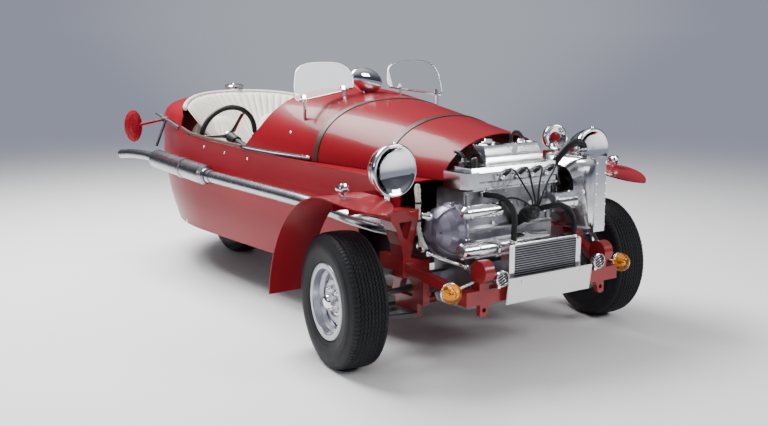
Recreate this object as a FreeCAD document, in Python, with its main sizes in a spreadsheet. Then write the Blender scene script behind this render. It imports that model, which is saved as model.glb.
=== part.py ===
"""Three wheeled car with an open transverse engine at its nose.

Millimetres.  The front faces -Y, +X is the car's left side and +Z is up.
Shapes are written with y = 0 on the front axle and z = 0 on the ground, and
every sub-part is then moved back by frame_shift, so that the frame's origin
lies on the ground under the middle of the car's own box.
"""
import FreeCAD
import Part
import Sketcher
import math
import os
import re

from FreeCAD import Placement, Rotation, Vector

doc = FreeCAD.newDocument("three_wheeled_car")
sheet = doc.addObject("Spreadsheet::Sheet", "sizes")

# Driving dimensions, one per spreadsheet row
SIZES = [
    # stance
    ("frame_shift", 1094.3),
    ("track", 1326),
    ("rear_axle_back", 2050),
    ("steer_parked", 9),
    ("steer_lock", 30),
    ("kingpin_inset", 45),
    ("joint_reach", 80),
    ("arm_thick", 14),
    ("pin_radius", 9),
    ("rack_back", 110),
    ("arm_inset", 55),
    ("knuckle_half", 23),
    ("rack_radius", 11),
    ("rack_end_back", 12),
    # wheels
    ("tyre_radius", 256),
    ("tyre_width", 165),
    ("tread_width", 128),
    ("tyre_wall", 13),
    ("bead_radius", 127),
    ("flange_radius", 145),
    ("flange_lip", 6),
    ("well_depth", 16),
    ("barrel_width", 132),
    ("barrel_wall", 4),
    ("disc_thick", 6),
    ("disc_outset", 22),
    ("hub_inward", 14),
    ("hub_outward", 16),
    ("hub_bore", 15),
    ("hub_radius", 34),
    ("rim_slots", 8),
    ("rim_slot_radius", 12),
    ("rim_slot_circle", 88),
    ("shaft_clearance", 0.05),
    ("seat_clearance", 0.3),
    ("working_clearance", 6),
    # hull, the tub that carries everything
    ("panel_wall", 6),
    ("hull_front", -30),
    ("hull_front_half", 430),
    ("hull_half", 465),
    ("tail_start", 1600),
    ("tail_length", 1000),
    ("tail_low_length", 770),
    ("hull_bottom", 240),
    ("deck_shoulder", 735),
    ("deck_height", 905),
    ("deck_crown_power", 2.5),
    ("panel_split", 1812),
    ("waist_front", 677),
    ("waist_mid", 684),
    ("waist_cockpit", 700),
    ("waist_rear", 730),
    ("arch_back", 260),
    ("arch_height", 530),
    # bonnet and scuttle
    ("bonnet_front", -107),
    ("bonnet_split", 620),
    ("bonnet_sheet", 4),
    ("bonnet_front_half", 265),
    ("bonnet_rear_half", 405),
    ("bonnet_front_crown", 845),
    ("bonnet_mid_crown", 888),
    ("bonnet_rear_crown", 937),
    ("scuttle_half", 458),
    ("scuttle_crown", 968),
    ("scuttle_top_back", 985),
    ("scuttle_low_back", 1152),
    ("strap_front", 213),
    ("strap_rear", 606),
    ("strap_width", 26),
    ("strap_thick", 3),
    # floor, bulkheads and seats
    ("floor_height", 262),
    ("floor_thick", 12),
    ("firewall_back", 110),
    ("firewall_thick", 4),
    ("toe_back", 270),
    ("footwell_half", 330),
    ("seat_wall_back", 1700),
    ("seat_wall_knee", 420),
    ("seat_wall_thick", 6),
    ("cushion_height", 120),
    ("cushion_length", 440),
    ("seat_gap", 20),
    ("squab_width", 410),
    ("squab_thick", 90),
    ("squab_top", 770),
    # rear rim of the cockpit
    ("rim_corner_half", 438),
    ("rim_corner_back", 1815),
    ("rim_centre_back", 2127),
    ("pad_thick", 30),
    # aero screens and mirrors
    ("screen_back", 755),
    ("screen_inner", 96),
    ("screen_outer", 404),
    ("screen_low_outer", 929),
    ("screen_low_inner", 979),
    ("screen_top", 1098),
    ("screen_thick", 5),
    ("screen_lean", 14),
    ("screen_foot_half", 431),
    # subframe
    ("tower_front", -106),
    ("tower_back", -30.3),
    ("tower_inner", 399),
    ("tower_outer", 529),
    ("tower_top", 585),
    ("tower_apex", 385),
    ("tower_wall", 4),
    ("strut_half", 466),
    ("strut_back", -66),
    ("engine_mount_half", 345),
    ("beam_front", -376),
    ("beam_depth", 50),
    ("beam_low", 266),
    ("beam_high", 319),
    ("beam_half", 390),
    ("rail_width", 34),
    # plate
    ("plate_width", 431),
    ("plate_tall", 99),
    ("plate_thick", 3),
    ("plate_front", -400),
    ("plate_middle", 302),
    ("plate_lean", 7.5),
    ("plate_stay", 150),
    # oil cooler
    ("cooler_half", 184),
    ("cooler_top", 434),
    ("cooler_front", -372),
    ("cooler_depth", 46),
    ("cooler_rows", 13),
    ("cooler_end", 14),
    ("tank_lip", 8),
    ("cooler_left_port", 169),
    ("cooler_right_port", 144),
    ("hose_radius", 11),
    ("ferrule_radius", 13),
    # engine
    ("block_left", 185),
    ("block_right", -262),
    ("block_front", -200),
    ("block_back", -40),
    ("block_low", 430),
    ("crankcase_rise", 70),
    ("crankcase_step", 8),
    ("head_low", 649),
    ("head_high", 733),
    ("head_left", 198),
    ("head_right", -278),
    ("head_end", -232),
    ("head_front", -212),
    ("rocker_left", 145),
    ("rocker_right", -155),
    ("rocker_high", 808),
    ("sump_low", 205),
    ("plug_pitch", 76.5),
    ("plug_first", -98),
    ("crank_height", 493),
    ("crank_forward", -130),
    ("clutch_radius", 100),
    ("starter_forward", -277),
    ("starter_height", 444),
    ("starter_radius", 39),
    ("coil_forward", -262),
    ("coil_height", 582),
    ("coil_radius", 27),
    ("cap_forward", -287),
    ("cap_height", 558),
    ("cap_radius", 29),
    ("dynamo_forward", -245),
    ("dynamo_height", 578),
    ("dynamo_radius", 38),
    ("fan_back", -120),
    ("fan_height", 610),
    ("fan_radius", 78),
    ("fan_hub_out", 56),
    ("fan_blades", 6),
    ("fin_pitch", 70),
    # radiator
    ("radiator_inner", 330),
    ("radiator_outer", 393),
    ("radiator_front", -298),
    ("radiator_back", 0),
    ("radiator_low", 445),
    ("radiator_high", 745),
    # lamps
    ("lamp_half", 512),
    ("lamp_front", -111),
    ("lamp_height", 738),
    ("lamp_radius", 99),
    ("lamp_depth", 120),
    ("side_lamp_half", 704),
    ("side_lamp_front", -70),
    ("side_lamp_height", 682),
    ("indicator_half", 439),
    ("indicator_front", -352),
    ("indicator_height", 319),
    ("indicator_radius", 38),
    ("horn_half", 250),
    ("horn_front", -412),
    ("horn_height", 359),
    # wings
    ("wing_inner", 580),
    ("wing_outer", 772),
    ("wing_sheet", 4),
    ("wing_top", 647),
    # exhaust
    ("exhaust_radius", 28),
    ("silencer_radius", 48),
    ("silencer_front", 1347),
    ("silencer_back", 1974),
    ("tail_pipe_back", 2450),
    ("tail_pipe_radius", 24),
    ("exhaust_side", 531),
    ("exhaust_height", 548),
    # steering wheel
    ("hoop_side", 275),
    ("hoop_back", 1640),
    ("hoop_height", 700),
    ("hoop_radius", 150),
    ("hoop_section", 13),
    ("hoop_tilt", 14),
    ("column_radius", 20),
    ("column_bore", 9),
    ("column_length", 1474),
    ("dash_back", 935),
    ("rail_low", 212),
    ("rail_high", 232),
    ("filler_side", 40),
    ("filler_back", 2165),
]

for row, (alias, value) in enumerate(SIZES, start=1):
    sheet.set("A%d" % row, alias)
    sheet.set("B%d" % row, str(value))
    sheet.setAlias("B%d" % row, alias)
doc.recompute()
ALIASES = {alias for alias, value in SIZES}


def size(alias):
    """Value of one driving dimension."""
    return float(getattr(sheet, alias))


X_AXIS = Vector(1, 0, 0)
Y_AXIS = Vector(0, 1, 0)
Z_AXIS = Vector(0, 0, 1)
FRAME = Placement(Vector(0, -size("frame_shift"), 0), Rotation())
nodes = []


def node(label, shape):
    """Keep one finished sub-part as a document object of its own."""
    piece = doc.addObject("Part::Feature", label)
    piece.Label = label
    piece.Shape = shape
    piece.Placement = FRAME.multiply(piece.Placement)
    nodes.append(piece)
    return piece


def box(low, high):
    """Box between two corners."""
    spans = [b - a for a, b in zip(low, high)]
    return Part.makeBox(spans[0], spans[1], spans[2], Vector(*low))


def rod(start, end, radius, end_radius=None):
    """Round bar or cone from one point to another."""
    start = Vector(*start)
    along = Vector(*end) - start
    if end_radius is None:
        return Part.makeCylinder(radius, along.Length, start, along)
    return Part.makeCone(radius, end_radius, along.Length, start, along)


def prism(points, axis, low, high):
    """Flat outline pushed along X, Y or Z.

    Points are given in the two other directions, in X, Y, Z order.
    """
    def corner(point):
        a, b = point
        return {"x": Vector(low, a, b), "y": Vector(a, low, b), "z": Vector(a, b, low)}[axis]

    corners = [corner(point) for point in points]
    face = Part.Face(Part.makePolygon(corners + corners[:1]))
    along = {"x": X_AXIS, "y": Y_AXIS, "z": Z_AXIS}[axis] * (high - low)
    return face.extrude(along)


def turned(profile, base, along):
    """Solid of revolution; the profile holds (distance along, radius) pairs."""
    corners = [Vector(radius, 0, distance) for distance, radius in profile]
    face = Part.Face(Part.makePolygon(corners + corners[:1]))
    solid = face.revolve(Vector(0, 0, 0), Z_AXIS, 360)
    solid.Placement = Placement(Vector(*base), Rotation(Z_AXIS, Vector(*along)))
    return Part.Solid(solid) if solid.ShapeType != "Solid" else solid


def mirrored(shape):
    """The same shape on the car's other side."""
    return shape.mirror(Vector(0, 0, 0), X_AXIS)


def both_sides(shape):
    return Part.makeCompound([shape, mirrored(shape)])


def fused(*shapes):
    """One shape from pieces that touch."""
    whole = shapes[0].multiFuse(list(shapes[1:]))
    return whole.removeSplitter()


def bent_wire(points):
    """Straight runs joined by arcs as large as the runs allow."""
    corners = [Vector(*point) for point in points]
    edges = []
    reach = corners[0]
    for before, corner, after in zip(corners, corners[1:], corners[2:]):
        into = corner - before
        out = after - corner
        shorter = min(into.Length, out.Length)
        into.normalize()
        out.normalize()
        cut = 0.45 * shorter
        start = corner - into * cut
        end = corner + out * cut
        half = into.getAngle(out) / 2
        radius = cut / math.tan(half)
        inward = out - into
        inward.normalize()
        centre = corner + inward * (radius / math.cos(half))
        middle = centre - inward * radius
        edges.append(Part.LineSegment(reach, start).toShape())
        edges.append(Part.Arc(start, middle, end).toShape())
        reach = end
    edges.append(Part.LineSegment(reach, corners[-1]).toShape())
    return Part.Wire(edges)


def hose(points, radius):
    """Round hose, lead or pipe along a bent wire."""
    wire = bent_wire(points)
    start = Vector(*points[0])
    along = Vector(*points[1]) - start
    ring = Part.Wire([Part.makeCircle(radius, start, along)])
    return wire.makePipeShell([ring], True, False)


def bound(text):
    """The same sum with each size's name pointed at the sheet."""
    def point(word):
        return "sizes." + word.group(0) if word.group(0) in ALIASES else word.group(0)
    return re.sub(r"[a-z][a-z_]*", point, str(text))


def worth(text):
    """Number that a sum of sizes comes to."""
    value = sheet.evalExpression(bound(text))
    return float(getattr(value, "Value", value))


def bind(piece, name, text):
    piece.setExpression(name, bound(text))
    return piece


def locate(piece, base, turn=None):
    """Place an object by three sums of sizes, turned as given."""
    piece.Placement = Placement(Vector(*[worth(text) for text in base]), turn or Rotation())
    for letter, text in zip("xyz", base):
        bind(piece, "Placement.Base." + letter, text)
    return piece


def as_node(label, piece):
    """Keep a built object as one sub-part, moved back into the frame."""
    piece.Label = label
    bind(piece, "Placement.Base.y", "-frame_shift")
    nodes.append(piece)
    return piece


def new_sketch(body, plane):
    drawn = body.newObject("Sketcher::SketchObject", body.Name + "_outline")
    for feature in body.Origin.OriginFeatures:
        if feature.Role == plane:
            drawn.AttachmentSupport = [(feature, "")]
    drawn.MapMode = "FlatFace"
    return drawn


def outline(body, plane, corners):
    """Closed outline; both distances of each corner are bound to the sheet."""
    drawn = new_sketch(body, plane)
    places = [Vector(worth(a), worth(b), 0) for a, b in corners]
    count = len(corners)
    drawn.addGeometry([Part.LineSegment(a, b) for a, b in zip(places, places[1:] + places[:1])], False)
    limits = [Sketcher.Constraint("Coincident", i, 2, (i + 1) % count, 1) for i in range(count)]
    sums = []
    for index, (spot, pair) in enumerate(zip(places, corners)):
        limits.append(Sketcher.Constraint("DistanceX", -1, 1, index, 1, spot.x))
        limits.append(Sketcher.Constraint("DistanceY", -1, 1, index, 1, spot.y))
        sums.extend(pair)
    drawn.addConstraint(limits)
    for index, text in enumerate(sums):
        drawn.setExpression("Constraints[%d]" % (count + index), bound(text))
    return drawn


def circle_outline(body, plane, across, up, radius):
    """Circle whose centre and radius are bound to the sheet."""
    drawn = new_sketch(body, plane)
    drawn.addGeometry(Part.Circle(Vector(worth(across), worth(up), 0), Z_AXIS, worth(radius)), False)
    drawn.addConstraint([
        Sketcher.Constraint("DistanceX", -1, 1, 0, 3, worth(across)),
        Sketcher.Constraint("DistanceY", -1, 1, 0, 3, worth(up)),
        Sketcher.Constraint("Radius", 0, worth(radius)),
    ])
    for index, text in enumerate((across, up, radius)):
        drawn.setExpression("Constraints[%d]" % index, bound(text))
    return drawn


def revolve(body, profile):
    """Turn an outline of (distance, radius) sums about the body's Z axis."""
    drawn = outline(body, "XZ_Plane", [(radius, distance) for distance, radius in profile])
    feature = body.newObject("PartDesign::Revolution", body.Name + "_turned")
    feature.Profile = drawn
    feature.ReferenceAxis = (drawn, ["V_Axis"])
    feature.Angle = 360
    return feature


def pad(body, plane, corners, length):
    """Push an outline to both sides of its plane."""
    feature = body.newObject("PartDesign::Pad", body.Name + "_pad")
    feature.Profile = outline(body, plane, corners)
    feature.Midplane = True
    return bind(feature, "Length", length)


def through_holes(body, across, up, radius):
    """Round hole through the body along Z."""
    feature = body.newObject("PartDesign::Pocket", body.Name + "_hole")
    feature.Profile = circle_outline(body, "XY_Plane", across, up, radius)
    feature.Type = "ThroughAll"
    feature.Midplane = True
    return feature


def polar(body, feature, count):
    """Repeat a feature round the body's Z axis."""
    pattern = body.newObject("PartDesign::PolarPattern", body.Name + "_round")
    pattern.Originals = [feature]
    pattern.Axis = (feature.Profile[0], ["N_Axis"])
    pattern.Angle = 360
    bind(pattern, "Occurrences", count)
    body.Tip = pattern
    return pattern


def linear(body, feature, direction, length, count):
    """Repeat a feature along one direction of its sketch."""
    pattern = body.newObject("PartDesign::LinearPattern", body.Name + "_row")
    pattern.Originals = [feature]
    pattern.Direction = (feature.Profile[0], [direction])
    bind(pattern, "Length", length)
    bind(pattern, "Occurrences", count)
    body.Tip = pattern
    return pattern


def lathe(name, profile, base, along):
    """Body of revolution placed by sums of sizes, with its Z turned along a direction."""
    body = doc.addObject("PartDesign::Body", name + "_form")
    revolve(body, profile)
    return locate(body, base, Rotation(Z_AXIS, Vector(*along)))


def slab(name, plane, corners, length, base=("0", "0", "0")):
    """Flat outline pushed both ways from its plane."""
    body = doc.addObject("PartDesign::Body", name + "_form")
    pad(body, plane, corners, length)
    return locate(body, base)


def block(name, base, spans, turn=None):
    """Box primitive with its three spans and its corner bound to the sheet."""
    piece = doc.addObject("Part::Box", name + "_block")
    for label, text in zip(("Length", "Width", "Height"), spans):
        bind(piece, label, text)
    return locate(piece, base, turn)


def bar(name, base, along, radius, length):
    """Cylinder primitive along a direction, bound to the sheet."""
    piece = doc.addObject("Part::Cylinder", name + "_bar")
    bind(piece, "Radius", radius)
    bind(piece, "Height", length)
    return locate(piece, base, Rotation(Z_AXIS, Vector(*along)))


def joined(name, *pieces):
    piece = doc.addObject("Part::MultiFuse", name + "_whole")
    piece.Shapes = list(pieces)
    return piece


def without(name, base, tool):
    piece = doc.addObject("Part::Cut", name + "_cut")
    piece.Base = base
    piece.Tool = tool
    return piece


def shaped(name, shape):
    """Helper object that holds a worked out shape."""
    piece = doc.addObject("Part::Feature", name + "_shape")
    piece.Shape = shape
    return piece


def pair(name, piece):
    """The piece and its mirror image on the car's other side."""
    other = doc.addObject("Part::Mirroring", name + "_mirror")
    other.Source = piece
    other.Normal = X_AXIS
    both = doc.addObject("Part::Compound", name + "_pair")
    both.Links = [piece, other]
    return both


# Hull

def plan_wire(height, half, length, front_half):
    """Closed plan outline of the tub at one height."""
    start = size("tail_start")
    front = size("hull_front")
    run = start - front

    def side(sign):
        poles = [
            Vector(sign * front_half, front, height),
            Vector(sign * front_half, front + 0.35 * run, height),
            Vector(sign * half, front + 0.65 * run, height),
            Vector(sign * half, start, height),
        ]
        curve = Part.BezierCurve()
        curve.setPoles(poles)
        return curve

    centre = Vector(0, start, height)
    if length > half:
        tail = Part.Ellipse(Vector(0, start + length, height), Vector(half, start, height), centre)
    else:
        tail = Part.Ellipse(Vector(half, start, height), Vector(0, start + length, height), centre)
    left = side(1).toShape()
    right = side(-1).toShape()
    quarter = math.pi / 2
    bow = tail.toShape(-quarter, quarter) if length > half else tail.toShape(0, 2 * quarter)
    front_line = Part.makeLine(Vector(-front_half, front, height), Vector(front_half, front, height))
    return Part.Wire(Part.__sortEdges__([left, bow, right, front_line]))


def hull_solid(inset):
    """Tub and deck as one closed body, made smaller all round by the inset."""
    low = size("hull_bottom") - 20
    shoulder = size("deck_shoulder")
    rise = size("deck_height") - inset - shoulder
    half = size("hull_half") - inset
    front_half = size("hull_front_half") - inset
    length = size("tail_length") - inset
    low_length = size("tail_low_length") - inset
    power = 2 / size("deck_crown_power")
    wires = []
    # the tail tucks in below its middle
    for share, tuck in ((0.0, 1.15), (0.16, 0.72), (0.34, 0.36), (0.54, 0.11), (0.76, 0.01), (1.0, 0.0)):
        height = low + share * (shoulder - low)
        now = length - tuck * (length - low_length)
        narrow = 1 - 0.02 * tuck
        wires.append(plan_wire(height, half * narrow, now, front_half * narrow))
    # the deck closes over as a rounded crown
    for angle in (16, 32, 48, 62, 73, 81):
        turn = math.radians(angle)
        shrink = math.cos(turn) ** power
        height = shoulder + rise * math.sin(turn) ** power
        wires.append(plan_wire(height, half * shrink, length * shrink, front_half * shrink))
    return Part.makeLoft(wires, True, False)


def hull_shell():
    outer = hull_solid(0)
    return outer.cut(hull_solid(size("panel_wall")))


def cockpit_prism(low, high, inset=0.0):
    """Upright block over the open cockpit, bounded behind by the curved rim."""
    half = size("rim_corner_half") - inset
    corner = size("rim_corner_back") - inset
    centre = size("rim_centre_back") - inset
    rim = Part.Arc(Vector(half, corner, low), Vector(0, centre, low), Vector(-half, corner, low))
    front = size("hull_front") - 100
    edges = [
        rim.toShape(),
        Part.makeLine(Vector(-half, corner, low), Vector(-half, front, low)),
        Part.makeLine(Vector(-half, front, low), Vector(half, front, low)),
        Part.makeLine(Vector(half, front, low), Vector(half, corner, low)),
    ]
    return Part.Face(Part.Wire(edges)).extrude(Vector(0, 0, high - low))


def waist_profile():
    """Side view of the side panel: waist line above, sill and arch below."""
    return [
        (size("hull_front"), size("arch_height")),
        (size("hull_front"), size("waist_front")),
        (size("bonnet_split"), size("waist_mid")),
        (size("scuttle_low_back"), size("waist_cockpit") - 6),
        (1465, size("waist_cockpit")),
        (1700, size("waist_cockpit") + 10),
        (size("panel_split"), size("waist_rear")),
        (size("panel_split"), size("hull_bottom")),
        (size("arch_back"), size("hull_bottom")),
        (size("arch_back") - 20, size("arch_height") - 10),
    ]


def bonnet_half_at(y):
    """Half width of the bonnet's lower edge."""
    front = size("bonnet_front")
    split = size("bonnet_split")
    share = (y - front) / (split - front)
    return size("bonnet_front_half") + (size("bonnet_rear_half") - size("bonnet_front_half")) * share


def shoulder(sign, start, inside):
    """Flat shelf between the side panel and the bonnet."""
    split = size("bonnet_split")
    back = size("scuttle_low_back")
    low = size("waist_front")
    thick = size("bonnet_sheet")
    lip = 14
    points = [
        (sign * (bonnet_half_at(start) - lip), start),
        (sign * 600, start),
        (sign * 600, back),
        (sign * (size("scuttle_half") - lip), back),
        (sign * (bonnet_half_at(split) - lip), split),
    ]
    plan = prism(points, "z", low - 40, low + 40)
    front = size("hull_front")
    mid = size("waist_mid")
    rear = size("waist_cockpit") - 6
    slab = prism([(front, low - thick), (split, mid - thick), (back, rear - thick), (back, rear), (split, mid), (front, low)], "x", -600, 600)
    return plan.common(slab).common(inside)


def make_side_panels():
    shell = hull_shell()
    profile = prism(waist_profile(), "x", -600, 600)
    walls = shell.common(profile)
    inside = hull_solid(size("panel_wall") - 1)
    for label, sign, start in (("side_panel_left", 1, 12), ("side_panel_right", -1, size("hull_front"))):
        low_x = 100 if sign > 0 else -600
        half = walls.common(box((low_x, -200, 0), (low_x + 500, 3000, 1200)))
        node(label, fused(half, shoulder(sign, start, inside)))


def make_tail():
    shell = hull_shell()
    zone = box((-600, size("panel_split"), size("hull_bottom")), (600, 3000, 1200))
    tail = shell.common(zone)
    node("tail_shell", tail.cut(cockpit_prism(size("hull_bottom") - 10, 1200)))


# Bonnet and scuttle

def arch_wire(y_low, y_high, half, low, high, power, thick):
    """Closed section of an arched sheet, square at its two lower edges."""
    def curve(inset):
        points = []
        for step in range(17):
            turn = math.pi * step / 16
            c = math.cos(turn)
            s = math.sin(turn)
            x = (half - inset) * math.copysign(abs(c) ** (2 / power), c)
            rise = (high - low - inset) * s ** (2 / power)
            y = y_low + (y_high - y_low) * rise / (high - low)
            points.append(Vector(x, y, low + rise))
        spline = Part.BSplineCurve()
        spline.interpolate(points)
        return spline.toShape(), points[0], points[-1]

    outer, outer_left, outer_right = curve(0)
    if thick is None:
        return Part.Wire(Part.__sortEdges__([outer, Part.makeLine(outer_right, outer_left)]))
    inner, inner_left, inner_right = curve(thick)
    sides = [Part.makeLine(outer_right, inner_right), Part.makeLine(inner_left, outer_left)]
    return Part.Wire(Part.__sortEdges__([outer, sides[0], inner, sides[1]]))


def bonnet_loft(inset, filled):
    """Bonnet skin, or the whole body under it, made smaller by the inset."""
    front = size("bonnet_front")
    split = size("bonnet_split")
    low = size("waist_front") + size("seat_clearance")
    rear_low = size("waist_mid") + size("seat_clearance")
    quarter = front + 0.27 * (split - front)
    middle = front + 0.6 * (split - front)
    stations = [
        (front + 30, front, low, size("bonnet_front_crown"), 1.95),
        (quarter, quarter, low + 2, 872, 2.0),
        (middle, middle, low + 4, 906, 2.1),
        (split, split, rear_low, size("bonnet_rear_crown"), 2.3),
    ]
    thick = None if filled else size("bonnet_sheet")
    wires = []
    for low_y, high_y, low_z, crown, power in stations:
        half = bonnet_half_at(high_y)
        wires.append(arch_wire(low_y, high_y, half - inset, low_z, crown - inset, power, thick))
    return Part.makeLoft(wires, True, False)


def make_bonnet():
    node("bonnet", bonnet_loft(0, False))


def scuttle_loft(inset, filled):
    """Scuttle skin, or the whole body under it, made smaller by the inset."""
    thick = size("bonnet_sheet")
    split = size("bonnet_split") + size("seat_clearance")
    low = size("waist_mid") + size("seat_clearance")
    high = size("scuttle_crown") - inset
    middle = 830
    stations = [
        (split, split, bonnet_half_at(split) - inset, low, size("bonnet_rear_crown") - inset, 2.3),
        (middle, middle, size("scuttle_half") - 20 - inset, low + 4, high - 8, 2.5),
        (size("scuttle_low_back"), size("scuttle_low_back"), size("scuttle_half") - inset, low + 10, high + 2, 2.8),
    ]
    if filled:
        wires = [arch_wire(*station, None) for station in stations]
    else:
        wires = [arch_wire(*station, thick) for station in stations]
    return Part.makeLoft(wires, True, False)


def cockpit_edge():
    """Everything behind the scuttle's curved rear edge, seen from the side."""
    low_back = size("scuttle_low_back")
    top_back = size("scuttle_top_back")
    low = size("waist_cockpit")
    crown = size("scuttle_crown")
    rise = crown - low
    waist = top_back - 20
    points = [
        Vector(0, low_back + 30, low - 12),
        Vector(0, low_back - 46, low + 0.09 * rise),
        Vector(0, waist + 100, low + 0.22 * rise),
        Vector(0, waist + 50, low + 0.39 * rise),
        Vector(0, waist + 22, low + 0.58 * rise),
        Vector(0, waist + 8, low + 0.77 * rise),
        Vector(0, waist + 20, crown + 40),
    ]
    curve = Part.BSplineCurve()
    curve.interpolate(points)
    behind = low_back + 200
    corners = [points[-1], Vector(0, behind, crown + 40), Vector(0, behind, low - 12), points[0]]
    edges = [curve.toShape()] + [Part.makeLine(a, b) for a, b in zip(corners, corners[1:])]
    face = Part.Face(Part.Wire(Part.__sortEdges__(edges)))
    face.translate(Vector(-600, 0, 0))
    return face.extrude(Vector(1200, 0, 0))


def make_scuttle():
    """Scuttle skin with a concave rear edge and a rolled lip inside it."""
    node("scuttle", scuttle_loft(0, False).cut(cockpit_edge()))


def make_straps():
    """Two straps that lie round the bonnet down to the shelves."""
    gap = size("seat_clearance")
    skin = bonnet_loft(-gap - size("strap_thick"), True).cut(bonnet_loft(-gap, True))
    half = size("strap_width") / 2
    low = size("waist_front")
    rise = (size("waist_mid") - low) / (size("bonnet_split") - size("hull_front"))
    straps = []
    for y in (size("strap_front"), size("strap_rear")):
        seat = low + rise * (y + half - size("hull_front")) + gap
        straps.append(skin.common(box((-600, y - half, seat), (600, y + half, 1100))))
    node("bonnet_straps", Part.makeCompound(straps))


# Floor, bulkheads and seats

def make_floor():
    low = size("floor_height")
    high = low + size("floor_thick")
    inset = size("panel_wall") + size("seat_clearance")
    plan = hull_solid(inset)
    slab = box((-600, size("toe_back"), low), (600, size("seat_wall_back"), high))
    node("floor_pan", plan.common(slab))


def make_firewall():
    y = size("firewall_back")
    thick = size("firewall_thick")
    half = size("footwell_half")
    low = size("floor_height")
    high = size("waist_front") - 8
    toe = size("toe_back")
    front = box((-half, y, 400), (half, y + thick, high))
    toe -= size("seat_clearance")
    over = low + size("floor_thick") + size("seat_clearance")
    slope = prism([(y, 400), (toe, low), (toe, low + 12), (y + thick, 404)], "x", -half, half)
    cheeks = []
    for sign in (-1, 1):
        x = sign * half
        outline = [(y, 400), (toe, low), (toe, over), (toe + 420, over), (toe + 420, high), (y, high)]
        cheeks.append(prism(outline, "x", min(x, x + sign * thick), max(x, x + sign * thick)))
    node("firewall", fused(front, slope, cheeks[0], cheeks[1]))


def make_seat_wall():
    """Upright wall behind the cushion, then a slope up to the cockpit's rim."""
    thick = size("seat_wall_thick")
    back = size("seat_wall_back")
    knee = size("seat_wall_knee")
    low = size("floor_height")
    top_back = size("rim_centre_back") - 60
    outline = [
        (back, low),
        (back + thick, low),
        (back + thick, knee),
        (top_back, 830),
        (top_back - thick, 830),
        (back, knee + 2),
    ]
    wall = prism(outline, "x", -500, 500)
    inner = hull_solid(size("panel_wall") + size("seat_clearance"))
    node("seat_bulkhead", fused(wall.common(inner), *make_rear_arm()))


def make_seats():
    top = size("floor_height") + size("floor_thick") + size("seat_clearance")
    half = size("squab_width")
    back = size("seat_wall_back") - size("seat_clearance")
    squabs = []
    for sign in (-1, 1):
        inner = size("seat_gap") / 2
        x0, x1 = sorted((sign * inner, sign * (inner + half)))
        foot_back = back
        foot = top + size("cushion_height") + 2
        knee = size("seat_wall_knee") + 2
        wall_top = size("rim_centre_back") - 60 - size("seat_wall_thick")
        lean = (wall_top - size("seat_wall_back")) / (830 - knee)
        high = size("squab_top")
        head_back = foot_back + lean * (high - knee)
        outline = [
            (foot_back, foot),
            (foot_back, knee),
            (head_back, high),
            (head_back - size("squab_thick"), high - 4),
            (foot_back - size("squab_thick"), foot),
        ]
        squab = prism(outline, "x", x0, x1)
        inner_hull = hull_solid(size("panel_wall") + 8)
        squab = squab.common(cockpit_prism(300, 1000, size("pad_thick") + 4))
        squabs.append(squab.common(inner_hull))
    cushion = slab("seat_cushion", "YZ_Plane", [
        ("-cushion_length", "14"),
        ("-cushion_length + 14", "0"),
        ("0", "0"),
        ("0", "cushion_height - 16"),
        ("-40", "cushion_height"),
        ("-cushion_length + 60", "cushion_height"),
        ("-cushion_length + 18", "cushion_height - 10"),
        ("-cushion_length", "cushion_height - 34"),
    ], "squab_width", ("seat_gap / 2 + squab_width / 2", "seat_wall_back - seat_clearance", "floor_height + floor_thick + seat_clearance"))
    as_node("seat_cushions", pair("seat_cushions", cushion))
    node("seat_squabs", Part.makeCompound(squabs))


# Wheels and steering

def barrel_profile():
    """Section of the rim's barrel as (distance, radius) sums, from one flange to the other and back."""
    half = "barrel_width / 2"
    return [
        ("-" + half, "flange_radius"),
        ("-" + half + " - flange_lip", "flange_radius - 3"),
        ("-" + half + " - flange_lip", "bead_radius - barrel_wall"),
        ("-" + half + " + 24", "bead_radius - barrel_wall - 3"),
        ("-" + half + " + 34", "bead_radius - well_depth - barrel_wall"),
        (half + " - 34", "bead_radius - well_depth - barrel_wall"),
        (half + " - 24", "bead_radius - barrel_wall - 3"),
        (half + " + flange_lip", "bead_radius - barrel_wall"),
        (half + " + flange_lip", "flange_radius - 3"),
        (half, "flange_radius"),
        (half + " - 4", "bead_radius"),
        (half + " - 24", "bead_radius - 3"),
        (half + " - 34", "bead_radius - well_depth"),
        ("-" + half + " + 34", "bead_radius - well_depth"),
        ("-" + half + " + 24", "bead_radius - 3"),
        ("-" + half + " + 4", "bead_radius"),
    ]


def disc_profile():
    """Section of the dished disc as (distance, radius) sums."""
    well = "bead_radius - well_depth - barrel_wall + 1"
    bore = "hub_bore + shaft_clearance"
    return [
        ("disc_outset - hub_inward", bore),
        ("disc_outset + hub_outward", bore),
        ("disc_outset + hub_outward", "hub_radius"),
        ("disc_outset + disc_thick", "hub_radius + 8"),
        ("disc_outset + disc_thick + 8", "66"),
        ("disc_outset + disc_thick + 8", "78"),
        ("disc_outset + disc_thick - 6", well),
        ("disc_outset - 8", well),
        ("disc_outset + 2", "78"),
        ("disc_outset + 2", "66"),
        ("disc_outset - 4", "hub_radius + 8"),
        ("disc_outset - hub_inward", "hub_radius"),
    ]


def wheel_rim(label):
    """Rim with its dished, slotted disc; the wheel's outer side is +Z here."""
    body = doc.addObject("PartDesign::Body", label + "_form")
    revolve(body, barrel_profile())
    revolve(body, disc_profile())
    hole = through_holes(body, "rim_slot_circle", "0", "rim_slot_radius")
    polar(body, hole, "rim_slots")
    return body


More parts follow.
